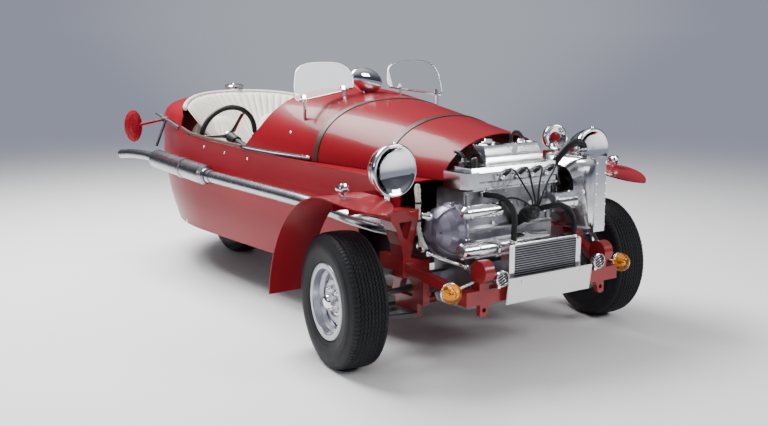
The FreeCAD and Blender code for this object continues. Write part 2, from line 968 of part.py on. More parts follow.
def tyre_ring(label):
    """Hollow tyre whose beads sit inside the rim's flanges."""
    half = "tyre_width / 2"
    tread = "tread_width / 2"
    bead = "bead_radius + seat_clearance"
    lip = "flange_radius + seat_clearance"
    side = "barrel_width / 2"
    outside = [
        (side + " - 4 - 1.3 * seat_clearance", bead),
        (side + " - 1.3 * seat_clearance", lip),
        (side + " + 8", lip + " + 4"),
        (half, "tyre_radius - 52"),
        (tread + " + 10", "tyre_radius - 14"),
        (tread + " - 4", "tyre_radius - 3"),
    ]
    inside = [
        (tread + " * 0.8", "tyre_radius - tyre_wall - 3"),
        (half + " - tyre_wall", "tyre_radius - 52"),
        (side + " - 16", lip + " + 2"),
        (side + " - 18", bead),
    ]
    profile = outside + [("0", "tyre_radius")] + [("-(" + z + ")", r) for z, r in reversed(outside)]
    profile += [("-(" + z + ")", r) for z, r in reversed(inside)] + inside
    body = doc.addObject("PartDesign::Body", label + "_form")
    revolve(body, profile)
    return body


def set_wheel(label, body, x, y, outward, steer):
    """Place a wheel's piece with its outer side facing outward, turned about the kingpin."""
    turn = Rotation(Z_AXIS, steer)
    kingpin = Vector(outward * kingpin_half(), 0, 0)
    spot = kingpin + turn.multVec(Vector(x, y, size("tyre_radius")) - kingpin)
    body.Placement = FRAME.multiply(Placement(spot, turn.multiply(Rotation(Z_AXIS, Vector(outward, 0, 0)))))
    bind(body, "Placement.Base.z", "tyre_radius")
    body.Label = label
    nodes.append(body)


def kingpin_half():
    return size("track") / 2 - size("kingpin_inset")


def knuckle(outward):
    """Upright with its stub axle, kingpin ends and an arm that points back."""
    x = kingpin_half()
    z = size("tyre_radius")
    reach = size("joint_reach")
    low = z - reach
    high = z + reach
    upright = box((x - 14, -18, low), (x + 14, 18, high))
    pins = rod((x, 0, low - size("arm_thick") - 3), (x, 0, high + size("arm_thick") + 3), size("pin_radius"))
    out = size("track") / 2 + size("disc_outset")
    hub_inner = out - size("hub_inward") - size("seat_clearance")
    hub_outer = out + size("hub_outward") + size("seat_clearance")
    stub = rod((x, 0, z), (hub_outer + 10, 0, z), size("hub_bore"))
    collar = rod((x + 10, 0, z), (hub_inner, 0, z), 24)
    nut = rod((hub_outer, 0, z), (hub_outer + 10, 0, z), 20)
    end = x - size("arm_inset")
    back = size("rack_back")
    arm = prism([(x - 14, -10), (x + 4, 10), (x - 4, 30), (end + 11, back), (end + 9, back + 9), (end, back + 12), (end - 9, back + 9), (end - 11, back), (x - 14, 16)], "z", low + 8, low + 20)
    shape = fused(upright, pins, stub, collar, nut, arm)
    if outward < 0:
        shape = mirrored(shape)
    shape.rotate(Vector(outward * x, 0, 0), Z_AXIS, -size("steer_parked"))
    return shape


def make_wheels():
    half = size("track") / 2
    steer = -size("steer_parked")
    for side, outward in (("left", 1), ("right", -1)):
        label = "rim_front_" + side
        set_wheel(label, wheel_rim(label), outward * half, 0, outward, steer)
        label = "tyre_front_" + side
        set_wheel(label, tyre_ring(label), outward * half, 0, outward, steer)
        node("knuckle_" + side, knuckle(outward))
    back = size("rear_axle_back")
    for label, body in (("rim_rear", wheel_rim("rim_rear")), ("tyre_rear", tyre_ring("tyre_rear"))):
        body.Placement = Placement(Vector(0, back, size("tyre_radius")), Rotation(Z_AXIS, -X_AXIS))
        bind(body, "Placement.Base.y", "rear_axle_back - frame_shift")
        bind(body, "Placement.Base.z", "tyre_radius")
        body.Label = label
        nodes.append(body)


def hoop_axis():
    tilt = math.radians(size("hoop_tilt"))
    return Vector(0, math.cos(tilt), math.sin(tilt))


def make_steering_wheel():
    centre = Vector(-size("hoop_side"), size("hoop_back"), size("hoop_height"))
    axis = hoop_axis()
    hoop = Part.makeTorus(size("hoop_radius"), size("hoop_section"), Vector(0, 0, 0), Z_AXIS)
    boss = Part.makeCylinder(26, 30, Vector(0, 0, -20))
    spokes = []
    for angle in (90, 210, 330):
        bar = box((10, -11, -12), (size("hoop_radius") - 4, 11, -8))
        bar.rotate(Vector(0, 0, 0), Z_AXIS, angle)
        spokes.append(bar)
    shaft = Part.makeCylinder(size("column_bore"), 70, Vector(0, 0, -85))
    shape = fused(hoop, boss, shaft, *spokes)
    shape.Placement = Placement(centre, Rotation(Z_AXIS, axis))
    node("steering_wheel", shape)
    head = centre - axis * 26
    foot = centre - axis * size("column_length")
    sleeve = fused(
        rod(tuple(foot), tuple(head), size("column_radius")),
        rod(tuple(head - axis * 70), tuple(head - axis * 2), size("column_radius") + 7),
        rod(tuple(foot), tuple(foot + axis * 60), size("column_radius") + 2),
    )
    bore = rod(tuple(head - axis * 62), tuple(head + axis * 5), size("column_bore") + size("shaft_clearance"))
    node("steering_column", sleeve.cut(bore))


def make_dash():
    """Panel under the scuttle's rear edge, with the column's hanger."""
    y = size("dash_back")
    low = 640
    plate = box((-420, y, low), (420, y + 6, 1000))
    under = scuttle_loft(size("bonnet_sheet") + size("seat_clearance"), True)
    skirt = box((-418, y, low), (418, y + 6, 710))
    plate = fused(plate.common(under), skirt)
    tilt = math.radians(size("hoop_tilt"))
    column_z = size("hoop_height") - (size("hoop_back") - y - 3) * math.tan(tilt)
    x = -size("hoop_side")
    hanger = box((x - 24, y, column_z), (x + 24, y + 6, low + 20))
    centre = Vector(x, size("hoop_back"), size("hoop_height"))
    line = centre - hoop_axis() * 900
    hanger = hanger.cut(rod(tuple(line), tuple(centre), size("column_radius") + size("seat_clearance")))
    node("dash_panel", fused(plate, hanger))


def make_rack():
    """Rack bar low behind the axle; gives back its housing and the housing's bore."""
    y = size("rack_back")
    low = "tyre_radius - joint_reach + 8 - working_clearance - rack_radius"
    z = worth(low)
    shift = worth("rack_back") * math.sin(math.radians(size("steer_parked")))
    reach = "(track / 2 - kingpin_inset - arm_inset - rack_end_back)"
    rod_bar = bar("steering_rack", ("-" + reach + " + %.4f" % shift, "rack_back", low), (1, 0, 0), "rack_radius", "2 * " + reach)
    as_node("steering_rack", bind(rod_bar, "Placement.Base.y", "rack_back"))
    bind(rod_bar, "Placement.Base.y", "rack_back - frame_shift")
    housing = rod((-230, y, z), (230, y, z), 22)
    ends = [rod((x, y, z), (x + 14, y, z), 26) for x in (-230, 216)]
    bore = rod((-240, y, z), (240, y, z), size("rack_radius") + size("shaft_clearance"))
    rail_low = size("rail_low")
    feet = []
    for x in (-200, 200):
        feet.append(box((x - 20, y - 18, z), (x + 20, y + 18, rail_low + 2)))
    return fused(housing, *ends, *feet), bore


def front_arm_plan(inner, wide):
    x = kingpin_half()
    return [(inner, -wide), (inner + 20, -wide), (x - 14, -16), (x - 14, 16), (inner + 20, wide), (inner, wide)]


def make_arms():
    """Upper and lower arms; the knuckle's pins turn in their eyes."""
    x = kingpin_half()
    z = size("tyre_radius")
    reach = size("joint_reach")
    thick = size("arm_thick")
    gap = size("seat_clearance")
    bore_radius = size("pin_radius") + size("shaft_clearance")
    pieces = []
    for low, inner, wide, lean in ((z + reach + gap, 470.3, 45, 0), (z - reach - gap - thick, 375.3, 70, 0)):
        plan = prism(front_arm_plan(inner, wide), "z", low, low + thick)
        window = prism([(inner + 24, -wide + 24), (x - 50, -7), (x - 50, 7), (inner + 24, wide - 24)], "z", low - 1, low + thick + 1)
        eye = rod((x, 0, low), (x, 0, low + thick), 20)
        hole = rod((x, 0, low - 1), (x, 0, low + thick + 1), bore_radius)
        pieces.append(fused(plan.cut(window), eye).cut(hole))
    node("front_arms", Part.makeCompound([copy for piece in pieces for copy in (piece, mirrored(piece))]))


def make_shafts():
    """Drive shafts with ribbed boots, from the gearbox towards the knuckles."""
    shafts = []
    for start, sign in (("block_left + seat_clearance", 1), ("-block_right + seat_clearance", -1)):
        run = "(track / 2 - kingpin_inset - knuckle_half - working_clearance - (" + start + "))"
        profile = [("0", "0"), ("0", "34"), ("14", "34"), ("17", "30"), ("20", "33"), ("24", "28"), ("28", "31"), ("33", "24"), ("38", "26"), ("44", "18"), ("60", "16"), ("70", "11")]
        profile += [(run + " - 76", "11"), (run + " - 60", "16"), (run + " - 44", "24"), (run + " - 38", "21"), (run + " - 32", "28"), (run + " - 26", "25"), (run + " - 20", "30"), (run, "30"), (run, "0")]
        base = (start if sign > 0 else "-(" + start + ")", "0", "tyre_radius")
        shafts.append(lathe("drive_shaft", profile, base, (sign, 0, 0)))
    both = doc.addObject("Part::Compound", "drive_shafts_pair")
    both.Links = shafts
    as_node("drive_shafts", both)


def make_rear_arm():
    """Swing arm with the rear axle; blades pass either side of the tyre."""
    y = size("rear_axle_back")
    z = size("tyre_radius")
    pivot_y = size("seat_wall_back") + size("seat_wall_thick") + 40
    pivot_z = 320
    inner = 100
    outer = 116
    blades = []
    for sign in (-1, 1):
        x0, x1 = sorted((sign * inner, sign * outer))
        blades.append(prism([(pivot_y - 20, pivot_z - 16), (y + 22, z - 20), (y + 26, z), (y + 22, z + 20), (pivot_y - 20, pivot_z + 22)], "x", x0, x1))
    tube = rod((-190, pivot_y, pivot_z), (190, pivot_y, pivot_z), 20)
    axle = rod((-outer - 10, y, z), (outer + 10, y, z), size("hub_bore"))
    out = size("disc_outset")
    gap = size("seat_clearance")
    collar_out = rod((-out - size("hub_outward") - gap, y, z), (-inner, y, z), 24)
    collar_in = rod((-out + size("hub_inward") + gap, y, z), (inner, y, z), 24)
    node("rear_arm", fused(tube, axle, collar_out, collar_in, *blades))
    brackets = []
    wall_back = size("seat_wall_back") + size("seat_wall_thick") - 2
    for x in (-170, 170):
        bracket = box((x - 8, wall_back, pivot_z - 34), (x + 8, pivot_y + 30, pivot_z + 34))
        brackets.append(bracket.cut(rod((x - 20, pivot_y, pivot_z), (x + 20, pivot_y, pivot_z), 20 + gap)))
    return brackets


def make_back_panel():
    """Trim that follows the cockpit's rear rim, above the sloping wall."""
    top = 860
    ring = cockpit_prism(500, 1100, size("seat_clearance")).cut(cockpit_prism(490, 1110, size("pad_thick")))
    inside = hull_solid(size("panel_wall") + size("seat_clearance"))
    ring = ring.common(inside)
    back = size("seat_wall_back")
    knee = size("seat_wall_knee")
    top_back = size("rim_centre_back") - 60
    thick = size("seat_wall_thick")
    above = prism([(size("panel_split") + 8, 549 + 26), (top_back + thick, 830 + 22), (3000, 852), (3000, 1100), (size("panel_split") + 8, 1100)], "x", -600, 600)
    node("back_panel", ring.common(above))


def make_trim():
    """Rolled edge along the top of each side panel beside the seats."""
    radius = 8
    start = size("scuttle_low_back") + 6
    stations = [start, 1300, 1465, 1600, 1700, size("panel_split") - 6]
    levels = [694.5, 697, 700, 705, 710, 728.5]
    points = []
    for y, z in zip(stations, levels):
        points.append((hull_half_at(y) - size("panel_wall") / 2, y, z + radius + 0.9))
    roll = hose(points, radius)
    node("cockpit_trim", both_sides(roll))


def hull_half_at(y):
    """Outer half width of the straight part of the tub at one station."""
    front = size("hull_front")
    run = size("tail_start") - front
    if y >= size("tail_start"):
        share = (y - size("tail_start")) / size("tail_length")
        return size("hull_half") * math.sqrt(1 - share * share)
    low, high = 0.0, 1.0
    for _ in range(40):
        t = (low + high) / 2
        place = front + run * (3 * (1 - t) ** 2 * t * 0.35 + 3 * (1 - t) * t * t * 0.65 + t ** 3)
        if place < y:
            low = t
        else:
            high = t
    keep = (1 - t) ** 3 + 3 * (1 - t) ** 2 * t
    return size("hull_front_half") * keep + size("hull_half") * (1 - keep)


def make_screen_brackets():
    """Feet on the scuttle with clamps at the screens' outer corners, and the mirror's post."""
    feet = []
    y = size("screen_back")
    low = size("screen_low_outer")
    for x in (size("screen_outer") - 40, size("screen_inner") + 60):
        z = low + (size("screen_low_inner") - low) * (size("screen_outer") - x) / (size("screen_outer") - size("screen_inner"))
        clamp = box((x - 8, y - 7, z - 6), (x + 8, y - 0.3, z + 22))
        clamp.rotate(Vector(0, y, low), X_AXIS, -size("screen_lean"))
        lean = math.sin(math.radians(size("screen_lean")))
        foot_y = y + (z - low) * lean
        post = box((x - 5, foot_y - 12, 820), (x + 5, foot_y - 3, z + 6))
        feet.append(fused(post, clamp))
    posts = Part.makeCompound(feet).cut(scuttle_loft(-0.3, True))
    head = turned([(0, 0), (0, 34), (6, 38), (14, 34), (22, 16), (26, 0)], (0, 0, 0), (0, -1, 0))
    matrix = FreeCAD.Matrix()
    matrix.scale(1.5, 1.0, 1.0)
    head = head.transformGeometry(matrix)
    head.translate(Vector(-27, 798, 1030))
    stem = rod((-27, 790, 940), (-27, 790, 1016), 5).cut(scuttle_loft(-0.3, True))
    node("screen_fittings", Part.makeCompound([posts, mirrored(posts), fused(head, stem)]))


def make_cables():
    beside = size("tower_inner") - 10 - 2 * size("seat_clearance")
    points = [(-372, -62, 668), (-beside + 4, -76, 642), (-beside, -84, 616), (-beside, -85, 552), (-398, -100, 512), (-401, -122, 480), (-408, -132, 448)]
    node("cable_bundle", hose(points, 9))


# Front subframe

def make_subframe():
    front = size("tower_front")
    depth = size("tower_back") - front
    inner = size("tower_inner")
    outer = size("tower_outer")
    top = size("tower_top")
    apex = size("tower_apex")
    wall = size("tower_wall")
    outline = [
        (inner, top),
        (outer, top),
        (outer - 4, top - 35),
        (outer - 30, top - 75),
        (outer - 52, top - 130),
        (apex_half() + 12, apex),
        (apex_half() - 12, apex),
        (inner, top - 30),
    ]
    tower = prism(outline, "y", front, front + depth)
    middle = (inner + outer) / 2
    hollow_outline = [
        (inner + wall + 2, top - wall),
        (outer - wall - 4, top - wall),
        (outer - 42, top - 90),
        (apex_half() + 4, apex + 40),
        (inner + wall + 12, top - 50),
    ]
    tower = tower.cut(prism(hollow_outline, "y", front + wall, front + depth + 1))
    window = [(middle - 34, top - 42), (middle + 26, top - 42), (middle + 6, top - 100), (middle - 12, top - 108)]
    tower = tower.cut(prism(window, "y", front - 1, front + wall + 1))
    beam_middle = size("beam_front") + size("beam_depth") / 2
    rail = sloped_bar((apex_half(), front + 30, apex - 6), (size("beam_half") - 20, beam_middle, size("beam_high") - 22), size("rail_width"))
    rail_x0 = 345
    rail_x1 = 375
    back = size("toe_back") + 130
    long_rail = box((rail_x0, front, size("rail_low")), (rail_x1, back, size("rail_high")))
    post = prism(
        [(front, size("rail_high") - 20), (front, apex + 4), (60, apex - 30), (100, size("rail_high") - 20)],
        "x", rail_x0, rail_x1,
    )
    post = post.cut(rod((rail_x0 - 1, 0, size("tyre_radius")), (rail_x1 + 1, 0, size("tyre_radius")), 42))
    hip = prism([(rail_x0, apex - 42), (rail_x1, apex - 42), (470, 330), (470, apex + 22), (440, apex + 22), (rail_x1, apex + 2), (rail_x0, apex + 2)], "y", front, 45)
    hip = hip.cut(box((rail_x1, front + 4, apex - 60), (440, 60, apex - 6)))
    lower_pad = box((rail_x1 - 20, -70, 158), (rail_x1, 70, size("rail_low") + 2))
    lower_pad = box((rail_x1 - 20, -70, 160), (rail_x1, 70, size("rail_low") + 2))
    side = fused(tower, rail, post, long_rail, hip, lower_pad)
    cross = box((-rail_x1, size("rack_back") - 20, size("rail_low")), (rail_x1, size("rack_back") + 20, size("rail_high")))
    beam = box(
        (-size("beam_half"), size("beam_front"), size("beam_low")),
        (size("beam_half"), size("beam_front") + size("beam_depth"), size("beam_high")),
    )
    lug = fused(
        rod((284, beam_middle - 14, 385), (329, beam_middle - 14, 385), 42),
        box((284, beam_middle - 24, size("beam_high") - 4), (329, beam_middle + 22, 385)),
    )
    eye = prism(
        [(276, 280), (322, 280), (322, 222), (306, 216), (290, 222), (284, 250), (276, 256)],
        "y", size("beam_front") + 4, size("beam_front") + 24,
    )
    eye = eye.cut(rod((303, -400, 243), (303, -300, 243), 9))
    housing, housing_bore = make_rack()
    base = fused(housing, beam, cross, side, mirrored(side), lug, mirrored(lug), eye, mirrored(eye))
    node("front_subframe", base.cut(housing_bore))


def apex_half():
    return 453


def sloped_bar(start, end, width):
    """Square bar between two points, with level sides."""
    start = Vector(*start)
    end = Vector(*end)
    along = end - start
    side = along.cross(Z_AXIS)
    side.normalize()
    up = side.cross(along)
    up.normalize()
    half = width / 2
    corners = [start + side * a + up * b for a, b in ((-half, -half), (half, -half), (half, half), (-half, half))]
    face = Part.Face(Part.makePolygon(corners + corners[:1]))
    return face.extrude(along)


def make_rubbers():
    """Cones inside the towers."""
    profile = [("0", "0"), ("0", "28"), ("8", "30"), ("30", "27"), ("60", "16"), ("96", "12"), ("96", "0")]
    top = "tower_top - tower_wall - seat_clearance"
    cone = lathe("suspension_rubbers", profile, ("strut_half", "strut_back", top), (0, 0, -1))
    as_node("suspension_rubbers", pair("suspension_rubbers", cone))


def make_plate():
    """Blank plate on two stays."""
    lean = math.radians(size("plate_lean"))
    rise = size("plate_tall") / 2
    sheet_piece = block(
        "number_plate",
        ("-plate_width / 2", "plate_front + %.4f" % (rise * math.sin(lean)), "plate_middle - %.4f" % (rise * math.cos(lean))),
        ("plate_width", "plate_thick", "plate_tall"),
        Rotation(X_AXIS, size("plate_lean")),
    )
    stays = []
    for side in ("-", ""):
        base = (side + "plate_stay", "plate_front + 2", "plate_middle - 6")
        stays.append(bar("plate_stay", base, (0, 1, 0), "7", "beam_front - plate_front - 2.2"))
    as_node("number_plate", joined("number_plate", sheet_piece, *stays))


def make_cooler():
    """Oil cooler: end tanks, caps, a core and its row of tubes; gives back its two hoses."""
    body = doc.addObject("PartDesign::Body", "oil_cooler_form")
    span = "cooler_top - beam_high"
    edge = "cooler_half - cooler_end"
    core_low = "tank_lip"
    core_high = span + " - tank_lip"
    pad(body, "XZ_Plane", [("-(" + edge + ") - 1", core_low), (edge + " + 1", core_low), (edge + " + 1", core_high), ("-(" + edge + ") - 1", core_high)], "cooler_depth - 12")
    for side in ("-", ""):
        inner = side + "(" + edge + ")"
        outer = side + "cooler_half"
        pad(body, "XZ_Plane", [(inner, "0"), (outer, "0"), (outer, span), (inner, span)], "cooler_depth")
    for low, high in (("0", "tank_lip"), (core_high, span)):
        pad(body, "XZ_Plane", [("-(" + edge + ") - 1", low), (edge + " + 1", low), (edge + " + 1", high), ("-(" + edge + ") - 1", high)], "cooler_depth - 4")
    pitch = "(cooler_top - beam_high - 2 * tank_lip) / cooler_rows"
    row = pad(body, "XZ_Plane", [
        ("-(" + edge + ") - 1", "tank_lip + 0.3 * " + pitch),
        (edge + " + 1", "tank_lip + 0.3 * " + pitch),
        (edge + " + 1", "tank_lip + 0.7 * " + pitch),
        ("-(" + edge + ") - 1", "tank_lip + 0.7 * " + pitch),
    ], "cooler_depth - 4")
    linear(body, row, "V_Axis", "cooler_top - beam_high - 2 * tank_lip - " + pitch, "cooler_rows")
    locate(body, ("0", "cooler_front + cooler_depth / 2", "beam_high"))
    middle_sum = "cooler_front + cooler_depth / 2"
    ferrules = []
    for across, tall in (("cooler_left_port", "30"), ("-cooler_right_port", "44")):
        ferrules.append(bar("cooler_port", (across, middle_sum, "cooler_top - 1"), (0, 0, 1), "ferrule_radius", tall + " + 1"))
        ferrules.append(bar("cooler_collar", (across, middle_sum, "cooler_top - 1"), (0, 0, 1), "ferrule_radius + 4", "9"))
    as_node("oil_cooler", joined("oil_cooler", body, *ferrules))
    high = size("cooler_top")
    middle = size("cooler_front") + size("cooler_depth") / 2
    left = hose(
        [(-144, middle, high + 44.3), (-144, middle, 520), (-130, middle + 10, 562), (-124, -310, 598), (-138, -276, 626), (-158, -250, 634), (-170, -226, 632), (-170, -200.3, 632)],
        size("hose_radius"),
    )
    right = hose(
        [(169, middle, high + 30.3), (169, middle, 500), (174, middle + 10, 532), (164, -322, 562), (135, -302, 578), (100, -282, 572), (78, -250, 560), (72, -228, 553), (72, -200.3, 553)],
        size("hose_radius"),
    )
    return [left, right]


# Engine

def make_block():
    """Cylinder block with a wider crankcase, plug bosses and a row of core plugs."""
    crank = "block_low + crankcase_rise"
    body = slab("engine_block", "YZ_Plane", [
        ("block_front - crankcase_step", "block_low"),
        ("block_back + 10", "block_low"),
        ("block_back + 10", crank),
        ("block_back", crank + " + 8"),
        ("block_back", "head_low - seat_clearance"),
        ("block_front", "head_low - seat_clearance"),
        ("block_front", crank + " + 14"),
        ("block_front - crankcase_step", crank),
    ], "block_left - block_right", ("(block_left + block_right) / 2", "0", "0"))
    extras = []
    for index in range(3):
        across = "plug_first + %.1f * plug_pitch" % (index - 0.35)
        extras.append(bar("core_plug", (across, "block_front + 1", "head_low - 62"), (0, -1, 0), "19", "4.5"))
    for across in ("block_right + 10", "block_left - 24"):
        extras.append(block("block_rib", (across, "block_front - 5", crank + " + 10"), ("14", "8", "head_low - block_low - crankcase_rise - 24")))
    as_node("engine_block", joined("engine_block", body, *extras))


def make_head():
    """Cylinder head with its thermostat end stepped out and a boss round each plug."""
    top = "head_high - seat_clearance"
    main = slab("cylinder_head", "YZ_Plane", [
        ("head_front", "head_low"),
        ("block_back", "head_low"),
        ("block_back", top),
        ("head_front + 6", top),
        ("head_front", "head_high - 18"),
        ("head_front - 9", "head_high - 26"),
        ("head_front - 9", "head_low + 34"),
        ("head_front", "head_low + 26"),
    ], "head_left - head_end", ("(head_left + head_end) / 2", "0", "0"))
    step = slab("head_step", "XY_Plane", [
        ("head_right", "head_front + 16"),
        ("head_right + 16", "head_front - 16"),
        ("head_end + 22", "head_front - 16"),
        ("head_end + 36", "head_front + 2"),
        ("head_end + 36", "block_back - 60"),
        ("head_right", "block_back - 60"),
    ], "head_high - head_low - 24", ("0", "0", "(head_high + head_low) / 2 - 2"))
    lip = slab("head_lip", "YZ_Plane", [
        ("head_front - 5", "head_low"),
        ("block_back", "head_low"),
        ("block_back", "head_low + 7"),
        ("head_front - 5", "head_low + 7"),
    ], "head_left - head_end + 6", ("(head_left + head_end) / 2 + 3", "0", "0"))
    pieces = [main, step, lip]
    for index in range(4):
        across = "plug_first + %d * plug_pitch" % index
        boss = [("0", "0"), ("0", "19"), ("12", "17"), ("17", "12"), ("17", "0")]
        pieces.append(lathe("plug_boss", boss, (across, "head_front - 4", "head_high - 37"), (0, -0.87, 0.5)))
        plug = [("0", "0"), ("0", "8"), ("26", "8"), ("26", "10.5"), ("34", "10.5"), ("52", "8.5"), ("54", "6"), ("54", "0")]
        pieces.append(lathe("plug_cap", plug, (across, "head_front + 2", "head_high - 40"), (0, -0.8, 0.6)))
        pieces.append(bar("head_stud", (across + " + plug_pitch / 2", "head_front + 10", "head_high - 6"), (0, 0, 1), "5", "5"))
    as_node("cylinder_head", joined("cylinder_head", *pieces))


def make_rocker_cover():
    """Cover with sloping sides, a notch at its front edge and an oil filler."""
    head_front = size("head_front")
    back = size("block_back")
    low = size("head_high")
    high = size("rocker_high")
    right = size("rocker_right")
    left = size("rocker_left")
    cover = Part.makeLoft(
        [
            rectangle(right, left, head_front + 10, back - 20, low + 8),
            rectangle(right + 4, left - 4, head_front + 16, back - 26, low + 32),
            rectangle(right + 10, left - 10, head_front + 38, back - 44, high),
        ],
        True, True,
    )
    flange = box((right - 5, head_front + 3, low), (left + 5, back - 12, low + 9))
    notch = prism([(-26, high + 5), (26, high + 5), (0, low + 38)], "y", head_front - 5, head_front + 46)
    web = prism([(-17, high - 3), (17, high - 3), (0, low + 44)], "y", head_front + 32, head_front + 47)
    ribs = [box((x - 3, head_front + 26, low + 30), (x + 3, back - 30, high + 3)) for x in (-118, -84, 64, 110)]
    filler = rod((92, -122, high - 2), (92, -122, high + 7), 23)
    knob = rod((92, -122, high + 6), (92, -122, high + 13), 16)
    rear_cap = rod((-88, -96, high - 2), (-88, -96, high + 12), 30)
    elbow = bent_wire([(30, -134, high - 2), (30, -134, high + 34), (50, -142, high + 40), (74, -152, high + 14)])
    ring = Part.Wire([Part.makeCircle(7, Vector(30, -134, high - 2), Z_AXIS)])
    breather = elbow.makePipeShell([ring], True, False)
    node("rocker_cover", fused(cover.cut(notch), flange, web, filler, knob, rear_cap, breather, *ribs))


def make_gearbox():
    """Gearbox in the sump, finned along its front, on two mounts."""
    front = "block_front"
    back = "block_back"
    body = slab("gearbox_case", "YZ_Plane", [
        (front + " - 12", "block_low"),
        (front + " - 14", "block_low - 60"),
        (front + " - 50", "block_low - 90"),
        (front + " - 50", "sump_low + 20"),
        (front + " - 30", "sump_low"),
        (back + " - 10", "sump_low"),
        (back + " + 10", "sump_low + 30"),
        (back + " + 10", "block_low"),
    ], "block_left - block_right", ("(block_left + block_right) / 2", "0", "0"))
    fins = []
    for index in range(6):
        across = "block_right + 40 + %d * fin_pitch" % index
        fins.append(block("case_fin", (across, front + " - 56", "sump_low + 26"), ("8", "7", "block_low - sump_low - 126")))
    mounts = [
        block("left_mount", ("block_left - 2", "-92", "300"), ("engine_mount_half - seat_clearance - block_left + 2", "40", "30")),
        block("right_mount", ("-engine_mount_half + seat_clearance", "-92", "300"), ("engine_mount_half - seat_clearance + block_right + 2", "40", "30")),
    ]
    bosses = [bar("drain_plug", ("%d" % x, front + " - 49", "sump_low + 44"), (0, -1, 0), "13", "10") for x in (-190, 60)]
    as_node("gearbox_case", joined("gearbox_case", body, *fins, *mounts, *bosses))


def make_clutch():
    """Ribbed bell over the clutch, with its cast nose and release arm."""
    right = size("block_right")
    axis_y = size("crank_forward")
    axis_z = size("crank_height")
    radius = size("clutch_radius")
    dome = turned(
        [(0, 0), (0, radius + 8), (10, radius + 8), (14, radius), (40, radius - 5), (66, radius - 18), (86, radius - 42), (100, radius - 66), (100, 0)],
        (right, axis_y, axis_z), (-1, 0, 0),
    )
    cone = turned([(2, 0), (2, radius + 6), (40, radius + 1), (68, radius - 13), (95, radius - 41), (95, 0)], (right, axis_y, axis_z), (-1, 0, 0))
    ribs = []
    for angle in range(20, 380, 60):
        rib = box((right - 93, axis_y - 3.5, axis_z + 30), (right - 5, axis_y + 3.5, axis_z + radius + 8))
        rib.rotate(Vector(right, axis_y, axis_z), X_AXIS, angle)
        ribs.append(rib.common(cone))
    ears = []
    for angle in range(0, 360, 45):
        ear = rod((right - 1, axis_y, axis_z + radius + 6), (right - 13, axis_y, axis_z + radius + 6), 9)
        ear.rotate(Vector(right, axis_y, axis_z), X_AXIS, angle + 10)
        ears.append(ear)
    lever = box((right - 112, axis_y - 9, axis_z - 10), (right - 98, axis_y + 9, axis_z + 78))
    node("clutch_housing", fused(dome, *ribs, *ears, lever))


def make_electrics():
    """Starter, coil, distributor, dynamo and fan round the block."""
    r = "starter_radius"
    profile = [
        ("0", "0"), ("0", r + " - 5"), ("7", r), ("96", r), ("99", r + " + 2.5"), ("106", r + " + 2.5"), ("109", r), ("262", r),
        ("268", r + " - 4"), ("350", r + " - 4"), ("353", r + " - 9"), ("420", r + " - 9"), ("425", r + " - 14"), ("425", "0"),
    ]
    motor = lathe("starter_motor", profile, ("85", "starter_forward", "starter_height"), (-1, 0, 0))
    bracket = block("starter_foot", ("-210", "starter_forward + 20", "starter_height - 12"), ("14", "block_front - crankcase_step - 0.2 - starter_forward - 20", "24"))
    as_node("starter_motor", joined("starter_motor", motor, bracket))
    r = "coil_radius"
    profile = [
        ("0", "0"), ("0", r + " - 3"), ("3", r), ("28", r), ("30", r + " + 2"), ("50", r + " + 2"), ("52", r), ("148", r),
        ("150", r + " - 3"), ("168", r + " - 3"), ("180", "12"), ("180", "0"),
    ]
    coil = lathe("ignition_coil", profile, ("-142", "coil_forward", "coil_height"), (-1, 0, 0))
    strap = block("coil_strap", ("-236", "coil_forward + 10", "coil_height - 12"), ("20", "block_front - coil_forward - 10.2", "24"))
    as_node("ignition_coil", joined("ignition_coil", coil, strap))
    front = size("block_front")
    cap = Vector(-7, size("cap_forward"), size("cap_height"))
    root = Vector(-7, front, size("cap_height") - 52)
    along = cap - root
    along.normalize()
    body = rod(tuple(root + along * 0.3), tuple(cap - along * 30), 20)
    r = size("cap_radius")
    dome = turned([(0, 0), (0, r), (20, r), (26, r - 3), (32, r - 9), (32, 0)], tuple(cap - along * 30), tuple(along))
    whole = fused(body, dome)
    for index in range(4):
        tower = rod(tuple(cap - along * 4), tuple(cap + along * 12), 6)
        tower.translate(Vector(13 * math.cos(math.pi * (index + 0.5) / 2), 0, 13 * math.sin(math.pi * (index + 0.5) / 2)))
        whole = fused(whole, tower)
    whole = whole.cut(box((-100, front - 0.3, 400), (100, 0, 700)))
    crank_top = size("block_low") + size("crankcase_rise") + 14.3
    node("distributor", whole.cut(box((-100, front - size("crankcase_step") - 0.3, 400), (100, 0, crank_top))))
    r = "dynamo_radius"
    profile = [
        ("0", "0"), ("0", r + " - 8"), ("4", r), ("18", r), ("20", r + " - 2"), ("88", r + " - 2"), ("90", r), ("108", r), ("112", r + " - 8"),
        ("112", "12"), ("126", "12"), ("126", "0"),
    ]
    dynamo = lathe("dynamo", profile, ("148", "dynamo_forward", "dynamo_height"), (1, 0, 0))
    arm = block("dynamo_arm", ("200", "dynamo_forward + 20", "dynamo_height - 10"), ("14", "block_front - dynamo_forward - 6", "20"))
    lug = block("dynamo_lug", ("block_left + seat_clearance", "block_front", "dynamo_height - 20"), ("29 - seat_clearance", "40", "40"))
    as_node("dynamo", joined("dynamo", dynamo, arm, lug))


